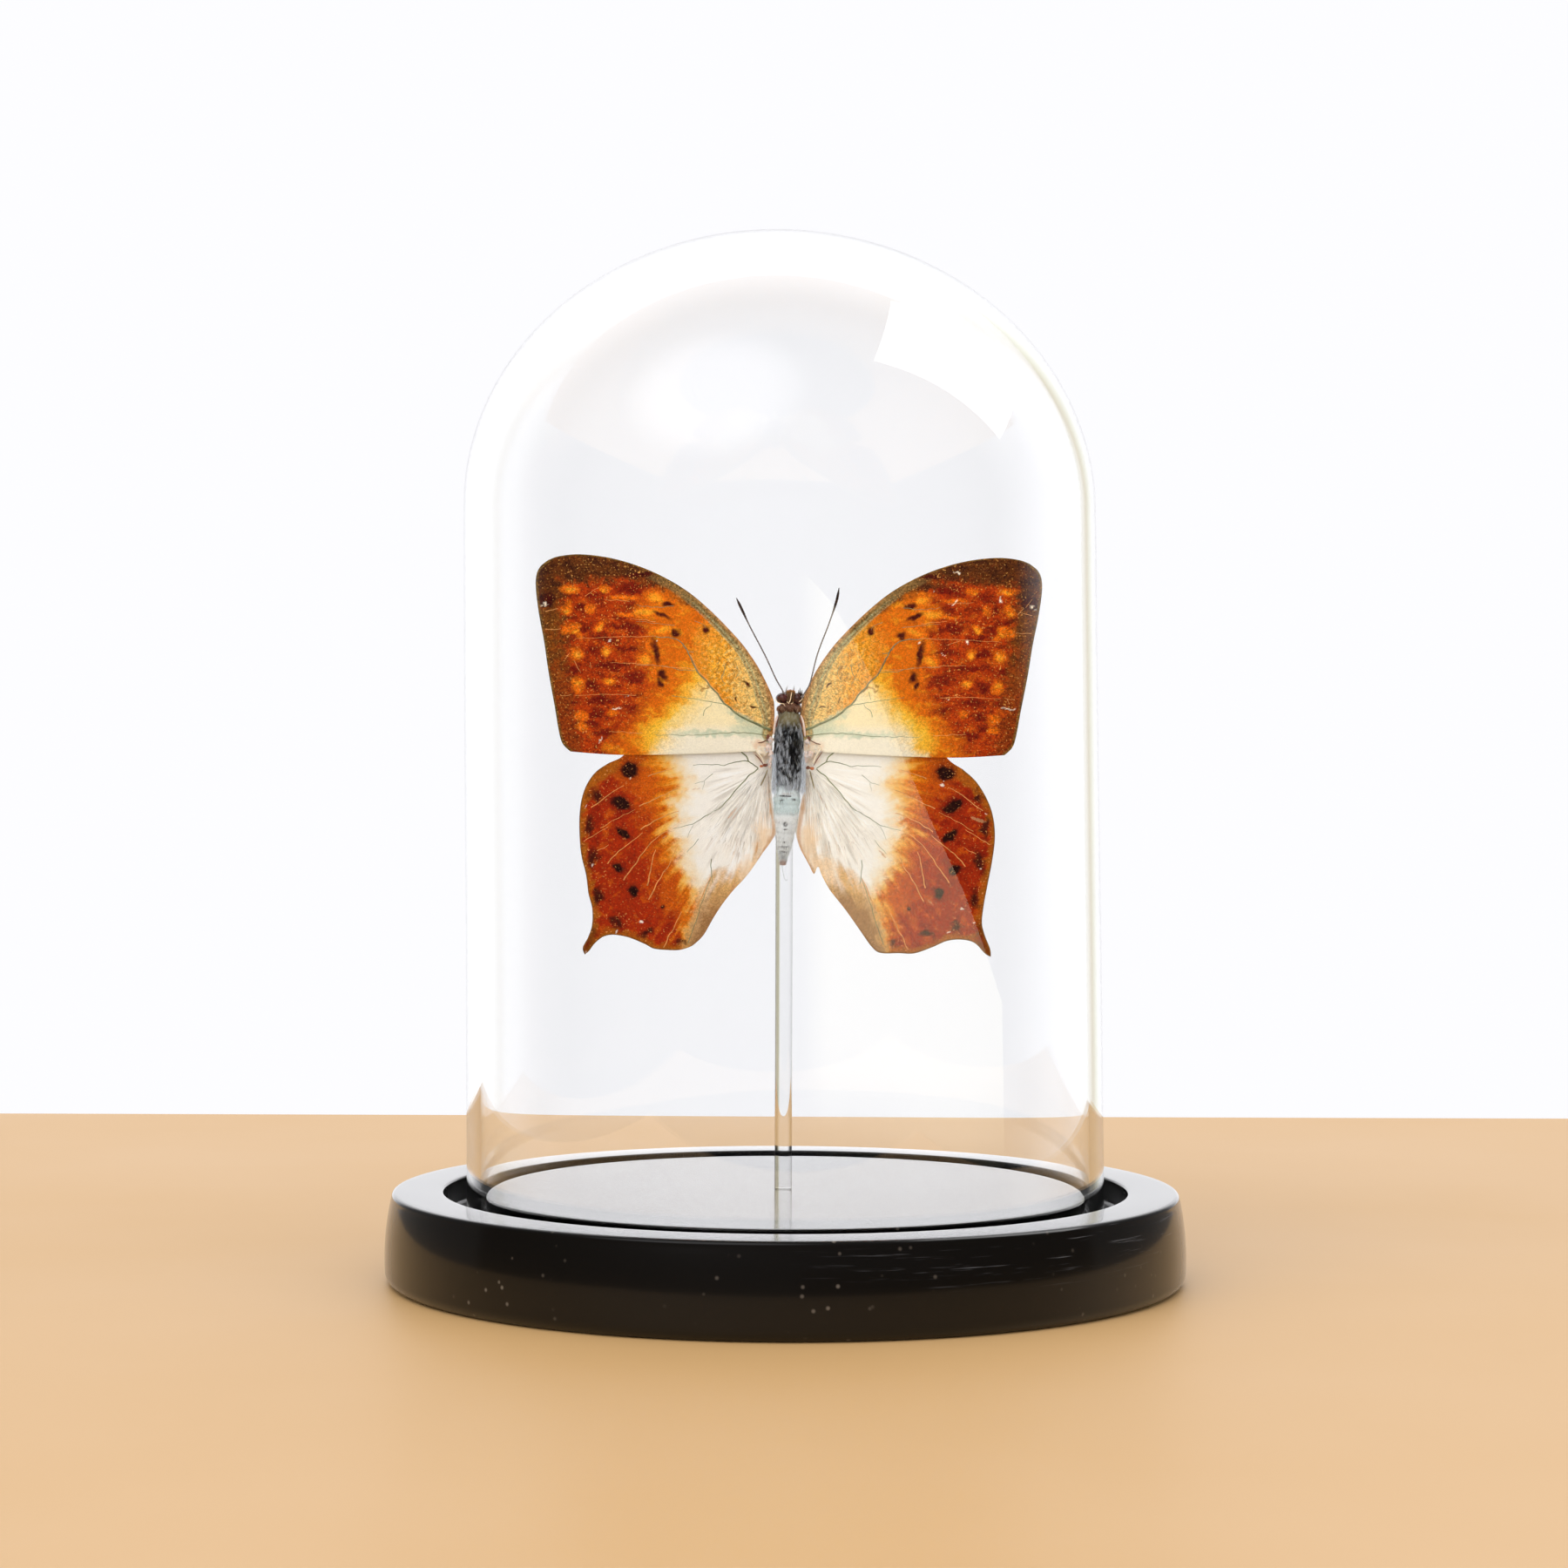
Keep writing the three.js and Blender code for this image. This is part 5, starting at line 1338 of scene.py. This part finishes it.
        # The fur lies back along the body, drawn in towards the tail, and stands up more along its sides.
        lift = 0.22 + 0.3 * smoothstep(np.abs(x), 1.7, 2.4)
        heading = -forward + outward * lift[:, None] + rng.normal(0, 0.12, (count, 3))
        heading[:, 0] -= 0.22 * x * smoothstep(-v, -2, 3) - 0.5 * ripples(x, v, 1.6, 71) * 0.35
        length = rng.uniform(0.6, 1.4, count) * (1 - 0.35 * smoothstep(v, 3.5, 5.5))
        length += rng.uniform(0, 1.1, count) * smoothstep(-v, 3.8, 5.5)
        width = rng.uniform(0.05, 0.1, count)
        bend = -0.2 * outward + rng.normal(0, 0.08, (count, 3))
        # Each hair takes its tone from where it grows, so that the clumps stay apart.
        pale = streaks(x, v - 0.65 * length, rng)
        dark_middle = oval_mask(x, v, [(0.0, 4.7, 0.35, 0.8, 0)], 0.6)
        olive = smoothstep(v, 3.2, 4.6) * (0.95 - 0.5 * dark_middle)
        olive = np.clip(olive + rng.normal(0, 0.14, count), 0, 1)
        hairs(shell, roots - 0.05 * outward, heading, length, width, bend, 0, rng, pale=pale, olive=olive,
              shade=rng.uniform(0, 1, count))
        # Longer pale hair sweeps from both sides over the roots of the wings and down beside the abdomen.
        count = 1300
        side = rng.choice((-1.0, 1.0), count)
        up = rng.uniform(-6.4, -0.6, count)
        across = side * rng.uniform(1.95, 2.6, count) - 0.13
        roots = np.stack([across, rng.uniform(-1.6, 0.4, count), up], -1)
        outward = side * rng.uniform(-0.1, 0.3, count)
        heading = np.stack([outward, rng.uniform(-0.3, 0.1, count), -np.ones(count)], -1)
        length = rng.uniform(0.6, 1.5, count)
        bend = np.stack([-0.2 * side, 0 * up, 0 * up], -1) + rng.normal(0, 0.1, (count, 3))
        hairs(shell, roots, heading, length, rng.uniform(0.05, 0.08, count), bend, 0, rng,
              pale=scattered(rng, 0.95, 0.12, count), olive=0.15 * (rng.random(count) < 0.3),
              shade=rng.uniform(0.4, 1, count))
        for centre, radii in self.LOBES:
            points, faces, unit = ball(centre, radii, 16, 22)
            shell.add(points, faces, 1)
            if radii[0] < 1:
                pick = rng.integers(0, len(points), 260)
                pick = pick[unit[pick][:, 1] < 0.3]
                count = len(pick)
                heading = unit[pick] * 0.4 + (0, 0, -1.0) + rng.normal(0, 0.3, (count, 3))
                hairs(shell, points[pick], heading, rng.uniform(0.2, 0.5, count),
                      rng.uniform(0.04, 0.08, count), rng.normal(0, 0.06, (count, 3)), 7, rng, steps=2,
                      pale=(rng.random(count) < 0.3) * 0.8, olive=rng.uniform(0, 0.6, count),
                      shade=rng.random(count))
        for sign, lumps in self.LUMPS.items():
            for x, y, up, *radii, kind in lumps:
                points, faces, unit = ball((x, y, up), radii, 14, 20)
                dents = ripples(points[:, 0] + points[:, 1], points[:, 2], 0.6, 5)
                points += unit * (0.07 * dents)[:, None]
                shell.add(points, faces, kind)
                if kind in (3, 4):  # short pale down
                    pick = rng.integers(0, len(points), 90)
                    pick = pick[unit[pick][:, 1] < 0.2]
                    count = len(pick)
                    heading = unit[pick] * 0.5 + (0.4 * sign, 0, -0.5) + rng.normal(0, 0.35, (count, 3))
                    hairs(shell, points[pick], heading, rng.uniform(0.2, 0.6, count),
                          rng.uniform(0.03, 0.07, count), rng.normal(0, 0.12, (count, 3)), 0, rng, steps=2,
                          pale=scattered(rng, 0.9, 0.15, count), olive=0.5 * (rng.random(count) < 0.25),
                          shade=rng.uniform(0.5, 1, count))
        for width, kind, path in self.RIDGES:
            swell = lambda share: 0.8 * width * np.sqrt(np.clip(1 - (2 * share - 1) ** 4, 0.02, 1))
            shell.add(*tube(path, swell, swell, 12, (0, 1, 0), 30)[:2], kind)
        finishes = [fur("hair_scales_thorax", settings.dark_fur, "#dce3ea", "#9a8c5e"),
                    chitin("horny_skin_brown", "#4a2a1e", "#8a5c40", 0.45),
                    chitin("horny_skin_maroon", "#5c2416", "#96512e", 0.45),
                    chitin("horny_skin_amber", "#e8cda4", "#faeed6", 0.5),
                    chitin("horny_skin_pale", "#e9bfa2", "#fbece0", 0.45),
                    chitin("horny_skin_rust", "#b0481c", "#d8843c", 0.45),
                    chitin("horny_skin_olive", "#75683f", "#a89566", 0.5),
                    fur("hair_scales_neck", "#3a2018", "#d8b890", "#94623c")]
        shell.build("Thorax", finishes, ["thorax"], BUTTERFLY)
        return {"FINISHED"}


class INSECT_OT_abdomen(bpy.types.Operator):
    """Makes the ringed abdomen and its short pale fur"""
    bl_idname = "insect.abdomen"
    bl_label = "Abdomen"

    # Dark marks down the back, as [across, up, half width, half height, tilt].
    MARKS = [(-0.75, -7.3, 0.85, 0.15, 0), (0.0, -7.35, 0.3, 0.12, 0), (-1.2, -7.95, 0.3, 0.12, 10),
             (0.7, -7.85, 0.34, 0.15, -12), (-0.6, -11.7, 0.3, 0.36, 0),
             (-0.6, -12.5, 0.34, 0.1, 0), (-0.8, -14.5, 0.18, 0.16, 0), (-0.8, -15.2, 0.9, 0.1, 0),
             (-0.85, -16.0, 0.85, 0.16, 0), (-0.95, -16.8, 0.62, 0.34, 0), (-1.3, -17.7, 0.13, 0.45, 25),
             (-0.7, -17.7, 0.13, 0.45, -25)]

    # A stray fibre hangs from the tip.
    FIBRE = [(-1.1, 1.2, -17.9), (-0.95, 1.1, -19.0), (-0.7, 1.0, -20.0), (-0.45, 1.0, -20.5),
             (-0.2, 1.0, -20.3)]

    def masks(self, points):
        """How pale, how olive and how cool the fur is at these points."""
        x, y, v = points.T
        back = smoothstep(-y, -1.2, 0.2)
        dark = oval_mask(x, v, self.MARKS, 0.5) * back
        hollow = oval_mask(x, v, [(-0.6, -11.7, 0.13, 0.18, 0)], 0.5)
        smoky = 0.3 * smoothstep(ripples(x * 2.2, v * 0.9, 1.0, 81), 0.2, 1.2) * smoothstep(v, -8, -6)
        tint = smoothstep(v, -10.8, -9.4) * (0.55 + 0.45 * fade(v, -7.8, -7.2))
        pale = np.clip(1 - 0.95 * np.clip(dark - hollow, 0, 1) - smoky, 0, 1)
        gold = oval_mask(x, v, [(-0.4, -6.95, 0.75, 0.16, 0)], 0.5)
        olive = np.clip(0.6 * smoothstep(-v, 17.0, 17.5) + 0.3 * gold, 0, 1)
        return pale, olive, tint

    def execute(self, context):
        settings = context.scene.dome_body
        rng = np.random.default_rng(23)
        shell = Shell()
        points, faces, share = tube(ABDOMEN_AXIS, abdomen_size, abdomen_size, 48, rings=120)
        pale, olive, tint = self.masks(points)
        groove = 0.25 * fade(np.abs(((share * ABDOMEN_RINGS) % 1) - 0.5), 0.3, 0.5)
        shell.add(points, faces, 0, pale=pale, olive=olive, tint=tint, along=0.45 + groove, shade=0.45)
        count = settings.abdomen_hairs
        share = rng.uniform(0, 0.97, count)
        angle = rng.uniform(0, 2 * pi, count)
        roots, outward, forward = limb_points(ABDOMEN_AXIS, abdomen_size, abdomen_size, share, angle)
        pale, olive, tint = self.masks(roots)
        lift = 0.12 + 0.25 * smoothstep(-share, -0.35, 0)
        heading = forward + outward * lift[:, None] + rng.normal(0, 0.12, (count, 3))
        length = rng.uniform(0.3, 0.65, count) + rng.uniform(0, 0.8, count) * smoothstep(-share, -0.2, 0)
        bend = -0.2 * outward * lift[:, None]
        hairs(shell, roots - 0.03 * outward, heading, length, rng.uniform(0.05, 0.09, count), bend, 0, rng,
              pale=pale, olive=olive, tint=tint, shade=rng.uniform(0.2, 0.9, count))
        thin = lambda share: 0.035 + 0 * share
        shell.add(*tube(self.FIBRE, thin, thin, 6, (0, 1, 0), 30)[:2], 0, pale=0.75, shade=0.6)
        # The rings next to the thorax have a cool grey-green tint.
        finish = fur("hair_scales_abdomen", "#241d1a", settings.pale_fur, "#a9683a", "#d9ebec")
        shell.build("Abdomen", [finish], ["abdomen"], BUTTERFLY)
        return {"FINISHED"}


class INSECT_OT_head(bpy.types.Operator):
    """Makes the head and its compound eyes"""
    bl_idname = "insect.head"
    bl_label = "Head"

    MIDDLE, GIRTH = (-0.05, 0.4, 7.95), (1.3, 1.5, 1.12)
    EYES = [((-1.15, 0.0, 7.9), (1.12, 1.25, 0.88)), ((1.15, 0.0, 7.8), (0.88, 1.2, 0.98))]
    # Lines of pale scales, as [half width, points]: down between the eyes, under the left eye, beside the
    # right eye, and two short ones at the neck.
    PALE_LINES = [
        (0.065, [(0.22, -0.75, 8.85), (0.1, -1.2, 8.2), (0.0, -1.3, 7.6), (-0.25, -1.3, 7.1)]),
        (0.045, [(-2.3, -0.3, 7.9), (-2.15, -0.75, 7.4), (-1.6, -1.2, 7.08), (-1.05, -1.4, 6.98),
                 (-0.8, -1.45, 6.6)]),
        (0.045, [(1.3, -1.2, 7.3), (1.7, -1.0, 7.6), (1.95, -0.6, 8.0)]),
        (0.04, [(-0.15, -1.35, 7.0), (-0.55, -1.3, 7.35)]), (0.04, [(0.1, -1.35, 6.95), (0.45, -1.25, 7.2)]),
    ]
    # Stiff dark bristles over the right eye, as [x, up, height].
    BRISTLES = [(1.25, 8.6, 0.6), (1.45, 8.6, 0.95), (1.62, 8.55, 0.55), (1.8, 8.4, 0.85), (1.95, 8.2, 0.5)]

    def execute(self, context):
        rng = np.random.default_rng(5)
        shell = Shell()
        shell.add(*ball(self.MIDDLE, self.GIRTH, 28, 36)[:2], 0, pale=0.05, olive=0.2, shade=0.3, along=0.2)
        for centre, radii in self.EYES:
            shell.add(*ball(centre, radii, 30, 40)[:2], 1)
        for width, line in self.PALE_LINES:
            thin = lambda share: width * np.sqrt(np.clip(1 - (2 * share - 1) ** 4, 0.05, 1))
            shell.add(*tube(line, thin, thin, 6, (1, 0, 0), 40)[:2], 0,
                      pale=1.0, olive=0.25, shade=0.9, along=0.9)
        for x, up, tall in self.BRISTLES:
            spike = lambda share: 0.13 * (1 - 0.85 * share)
            path = [(x, -0.5, up - 0.25), (x + 0.02, -0.6, up + 0.4 * tall), (x + 0.05, -0.6, up + tall)]
            shell.add(*tube(path, spike, spike, 8, (0, 1, 0), 10)[:2], 0, pale=0.0, olive=0.1, shade=0.2)
        count = 2200
        polar, turn = np.arccos(rng.uniform(-1, 1, count)), rng.uniform(0, 2 * pi, count)
        outward = np.stack([np.sin(polar) * np.cos(turn), np.cos(polar), np.sin(polar) * np.sin(turn)], -1)
        roots = outward * self.GIRTH + self.MIDDLE
        clear = np.abs(roots[:, 0] - 0.1) < 0.62
        roots, outward = roots[clear], outward[clear]
        count = len(roots)
        heading = outward + (0, -0.2, 0.5) + rng.normal(0, 0.25, (count, 3))
        brow = smoothstep(roots[:, 2], 8.5, 8.8)
        pale = np.clip(0.5 * brow + rng.normal(0.12, 0.12, count), 0, 1)
        hairs(shell, roots, heading, rng.uniform(0.12, 0.32, count), rng.uniform(0.05, 0.08, count),
              rng.normal(0, 0.1, (count, 3)), 0, rng, pale=pale,
              olive=np.clip(rng.normal(0.2, 0.2, count) + 0.8 * brow, 0, 1), shade=rng.uniform(0, 1, count))
        coat = fur("hair_scales_head", "#2e1814", "#f0dcb8", "#c8863a")
        shell.build("Head", [coat, self.eye()], ["head"], BUTTERFLY)
        return {"FINISHED"}

    def eye(self):
        """A compound eye: brown facets 0.03 mm across, drawn at 0.06 mm, under a clear hard skin."""
        material, add = new_material("compound_eye")
        place = add("TexCoord").outputs["Object"]
        facet = add("TexVoronoi", {"Vector": place, "Scale": 16000.0})
        cloud = add("TexNoise", {"Vector": place, "Scale": 900.0, "Detail": 2.0})
        paint = add("Mix", {0: cloud, 6: "#2a1010", 7: "#5e3028"}, **PAINT)
        bump = add("Bump", {"Height": facet, "Strength": 0.2, "Distance": 0.00002})
        skin = add("BsdfPrincipled", {"Base Color": paint, "Roughness": 0.22, "IOR": 1.5, "Normal": bump,
                   "Coat Weight": 0.5, "Coat Roughness": 0.08})
        add("OutputMaterial", [skin])
        return material


class INSECT_OT_antennae(bpy.types.Operator):
    """Makes the ringed, clubbed antennae"""
    bl_idname = "insect.antennae"
    bl_label = "Antennae"

    RINGS = 42
    ROUTES = {
        "left": [(-1.0, -0.9, 8.6), (-1.4, -1.0, 9.4), (-2.33, -1.2, 11.0), (-3.93, -1.5, 14.4),
                 (-6.28, -1.7, 18.8), (-7.4, -1.8, 21.1), (-8.47, -1.9, 23.3)],
        "right": [(1.75, -1.1, 8.0), (2.4, -1.3, 9.0), (3.08, -1.5, 10.4), (4.17, -1.6, 14.8),
                  (5.83, -1.8, 19.3), (7.0, -1.9, 22.9), (7.4, -2.0, 25.0)],
    }

    def execute(self, context):
        settings = context.scene.dome_body
        ringed = lambda share: np.cos(2 * pi * self.RINGS * share)

        def radius(share):
            """Short rings make the shaft. Its last quarter swells to a slim club."""
            club = 0.10 * smoothstep(share, 0.74, 0.88) - 0.13 * smoothstep(share, 0.93, 1.0)
            foot = 0.12 * fade(share, 0.0, 0.03)
            return (0.105 + club + foot) * (1 + 0.1 * ringed(share))

        for side, route in self.ROUTES.items():
            shell = Shell()
            points, faces, share = tube(route, radius, radius, 12, (0, 1, 0), 340)
            shell.add(points, faces, 0, club=smoothstep(share, 0.72, 0.86), ring=0.5 + 0.5 * ringed(share))
            name = f"antenna_{side}"
            shell.build(name.capitalize(), [self.finish(settings)], [name], BUTTERFLY)
        return {"FINISHED"}

    def finish(self, settings):
        """Horny rings with a few pale scales in each joint. The club is bare and darker."""
        material, add = new_material("horny_skin_ringed")
        ring, club = (add("Attribute", attribute_name=key).outputs["Fac"] for key in ("ring", "club"))
        shaft = add("Mix", {0: ring, 6: "#8d8078", 7: "#5b4c46"}, **PAINT)
        paint = add("Mix", {0: club, 6: shaft, 7: settings.chitin}, **PAINT)
        skin = add("BsdfPrincipled", {"Base Color": paint, "Roughness": 0.45, "IOR": 1.54})
        add("OutputMaterial", [skin])
        return material


class INSECT_OT_mouthparts(bpy.types.Operator):
    """Makes the furry palps and the coiled proboscis"""
    bl_idname = "insect.mouthparts"
    bl_label = "Mouthparts"

    def execute(self, context):
        rng = np.random.default_rng(31)
        coat = fur("hair_scales_palps", "#e2e2e2", "#fbfbfc", "#e6dfd2")
        size = lambda share: 0.1 - 0.075 * share ** 0.7
        for name, side in (("left", -1), ("right", 1)):
            route = [(side * 0.6 - 0.1, 2.55, 7.9), (side * 0.6 - 0.05, 2.3, 9.2),
                     (side * 0.5 + 0.1, 1.6, 9.95)]
            shell = Shell()
            shell.add(*tube(route, size, size, 16, rings=30)[:2], 0,
                      pale=0.5, olive=0.2, shade=0.5, along=0.4)
            count = 160
            share, angle = rng.uniform(0, 0.7, count), rng.uniform(0, 2 * pi, count)
            roots, outward, forward = limb_points(route, size, size, share, angle)
            hairs(shell, roots, forward + 0.3 * outward, rng.uniform(0.2, 0.45, count),
                  rng.uniform(0.02, 0.04, count), -0.1 * outward, 0, rng, steps=2,
                  pale=scattered(rng, 0.6, 0.25, count), olive=0.2 * rng.random(count),
                  shade=rng.random(count))
            shell.build(f"Palp_{name}", [coat], [f"palp_{name}"], BUTTERFLY)
        share = np.linspace(0, 1, 60)
        angle, reach = 4 * pi * share, 0.85 - 0.6 * share
        coil = np.stack([-0.1 + 0 * share, 3.05 - reach * np.cos(angle), 7.6 + reach * np.sin(angle)], -1)
        rings = 70
        ringed = lambda share: (0.13 - 0.06 * share) * (1 + 0.06 * np.cos(2 * pi * rings * share))
        shell = Shell()
        shell.add(*tube(coil, ringed, ringed, 12, (1, 0, 0), 280)[:2], 0)
        skin = chitin("horny_skin_tongue", "#4b2a18", "#7e4d2c", 0.35)
        shell.build("Proboscis", [skin], ["proboscis"], BUTTERFLY)
        return {"FINISHED"}


class INSECT_OT_legs(bpy.types.Operator):
    """Makes the folded legs, with their short spines"""
    bl_idname = "insect.legs"
    bl_label = "Legs"

    ROUTES = {
        "foreleg": [(1.2, 3.1, 4.2), (1.75, 2.9, 5.9), (1.25, 2.9, 7.4)],
        "midleg": [(2.0, 3.1, 2.2), (4.6, 2.7, 4.4), (4.9, 2.4, 0.0), (4.6, 2.4, -3.6)],
        "hindleg": [(2.0, 3.1, -2.0), (3.7, 3.3, -0.1), (3.6, 3.0, -5.0), (3.1, 2.8, -9.2)],
    }

    def execute(self, context):
        rng = np.random.default_rng(47)
        skin = chitin("horny_skin_legs", "#4a3020", "#86643f", 0.5)
        joints = 14     # along the whole leg, of which the foot shows the last five

        def radius(share):
            """A thick thigh, a slimmer shin, and a foot of short joints."""
            thigh = 0.1 * bell(share, 0.2, 0.14)
            foot = 0.025 * np.cos(2 * pi * joints * share) * smoothstep(share, 0.66, 0.7)
            return 0.24 - 0.15 * share + thigh + foot

        for leg, route in self.ROUTES.items():
            for name, side in (("left", -1), ("right", 1)):
                mirrored = [(side * x, y, z) for x, y, z in route]
                shell = Shell()
                shell.add(*tube(mirrored, radius, radius, 14, (0, 1, 0), 90)[:2], 0)
                count = 90
                share, angle = rng.uniform(0.1, 0.98, count), rng.uniform(0, 2 * pi, count)
                roots, outward, forward = limb_points(mirrored, radius, radius, share, angle, (0, 1, 0))
                hairs(shell, roots - 0.03 * outward, forward + 0.7 * outward, rng.uniform(0.15, 0.4, count),
                      rng.uniform(0.03, 0.05, count), 0.1 * forward, 0, rng, steps=2)
                piece = f"{leg}_{name}"
                shell.build(piece.capitalize(), [skin], [piece], BUTTERFLY)
        return {"FINISHED"}


# ---------------------------------------------------------------- the add-on

OPERATORS = (INSECT_OT_stage, INSECT_OT_base, INSECT_OT_dome, INSECT_OT_rod, INSECT_OT_wings,
             INSECT_OT_thorax, INSECT_OT_abdomen, INSECT_OT_head, INSECT_OT_antennae,
             INSECT_OT_mouthparts, INSECT_OT_legs)
SETTINGS = {"dome_stage": StageSettings, "dome_case": CaseSettings, "dome_wings": WingSettings,
            "dome_body": BodySettings}


class INSECT_PT_panel(bpy.types.Panel):
    """Lists the steps, in the order that they run"""
    bl_idname = "INSECT_PT_panel"
    bl_label = "Butterfly in a Glass Dome"
    bl_space_type = "VIEW_3D"
    bl_region_type = "UI"
    bl_category = "Dome"

    def draw(self, context):
        for step in OPERATORS:
            self.layout.operator(step.bl_idname)
        for key in SETTINGS:
            box = self.layout.box()
            settings = getattr(context.scene, key)
            for name in settings.bl_rna.properties.keys():
                if name not in ("rna_type", "name"):
                    box.prop(settings, name)


def register():
    for cls in (*SETTINGS.values(), *OPERATORS, INSECT_PT_panel):
        bpy.utils.register_class(cls)
    for key, cls in SETTINGS.items():
        setattr(bpy.types.Scene, key, bpy.props.PointerProperty(type=cls))


def unregister():
    for key in SETTINGS:
        delattr(bpy.types.Scene, key)
    for cls in (INSECT_PT_panel, *OPERATORS[::-1], *SETTINGS.values()):
        bpy.utils.unregister_class(cls)


def main():
    register()
    for step in OPERATORS:
        group, name = step.bl_idname.split(".")
        getattr(getattr(bpy.ops, group), name)()
    as_lists = lambda box: [list(corner) for corner in box]
    {"cad": as_lists(CAD_BOUNDS), "visual": as_lists(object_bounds())}


if __name__ == "__main__":
    main()
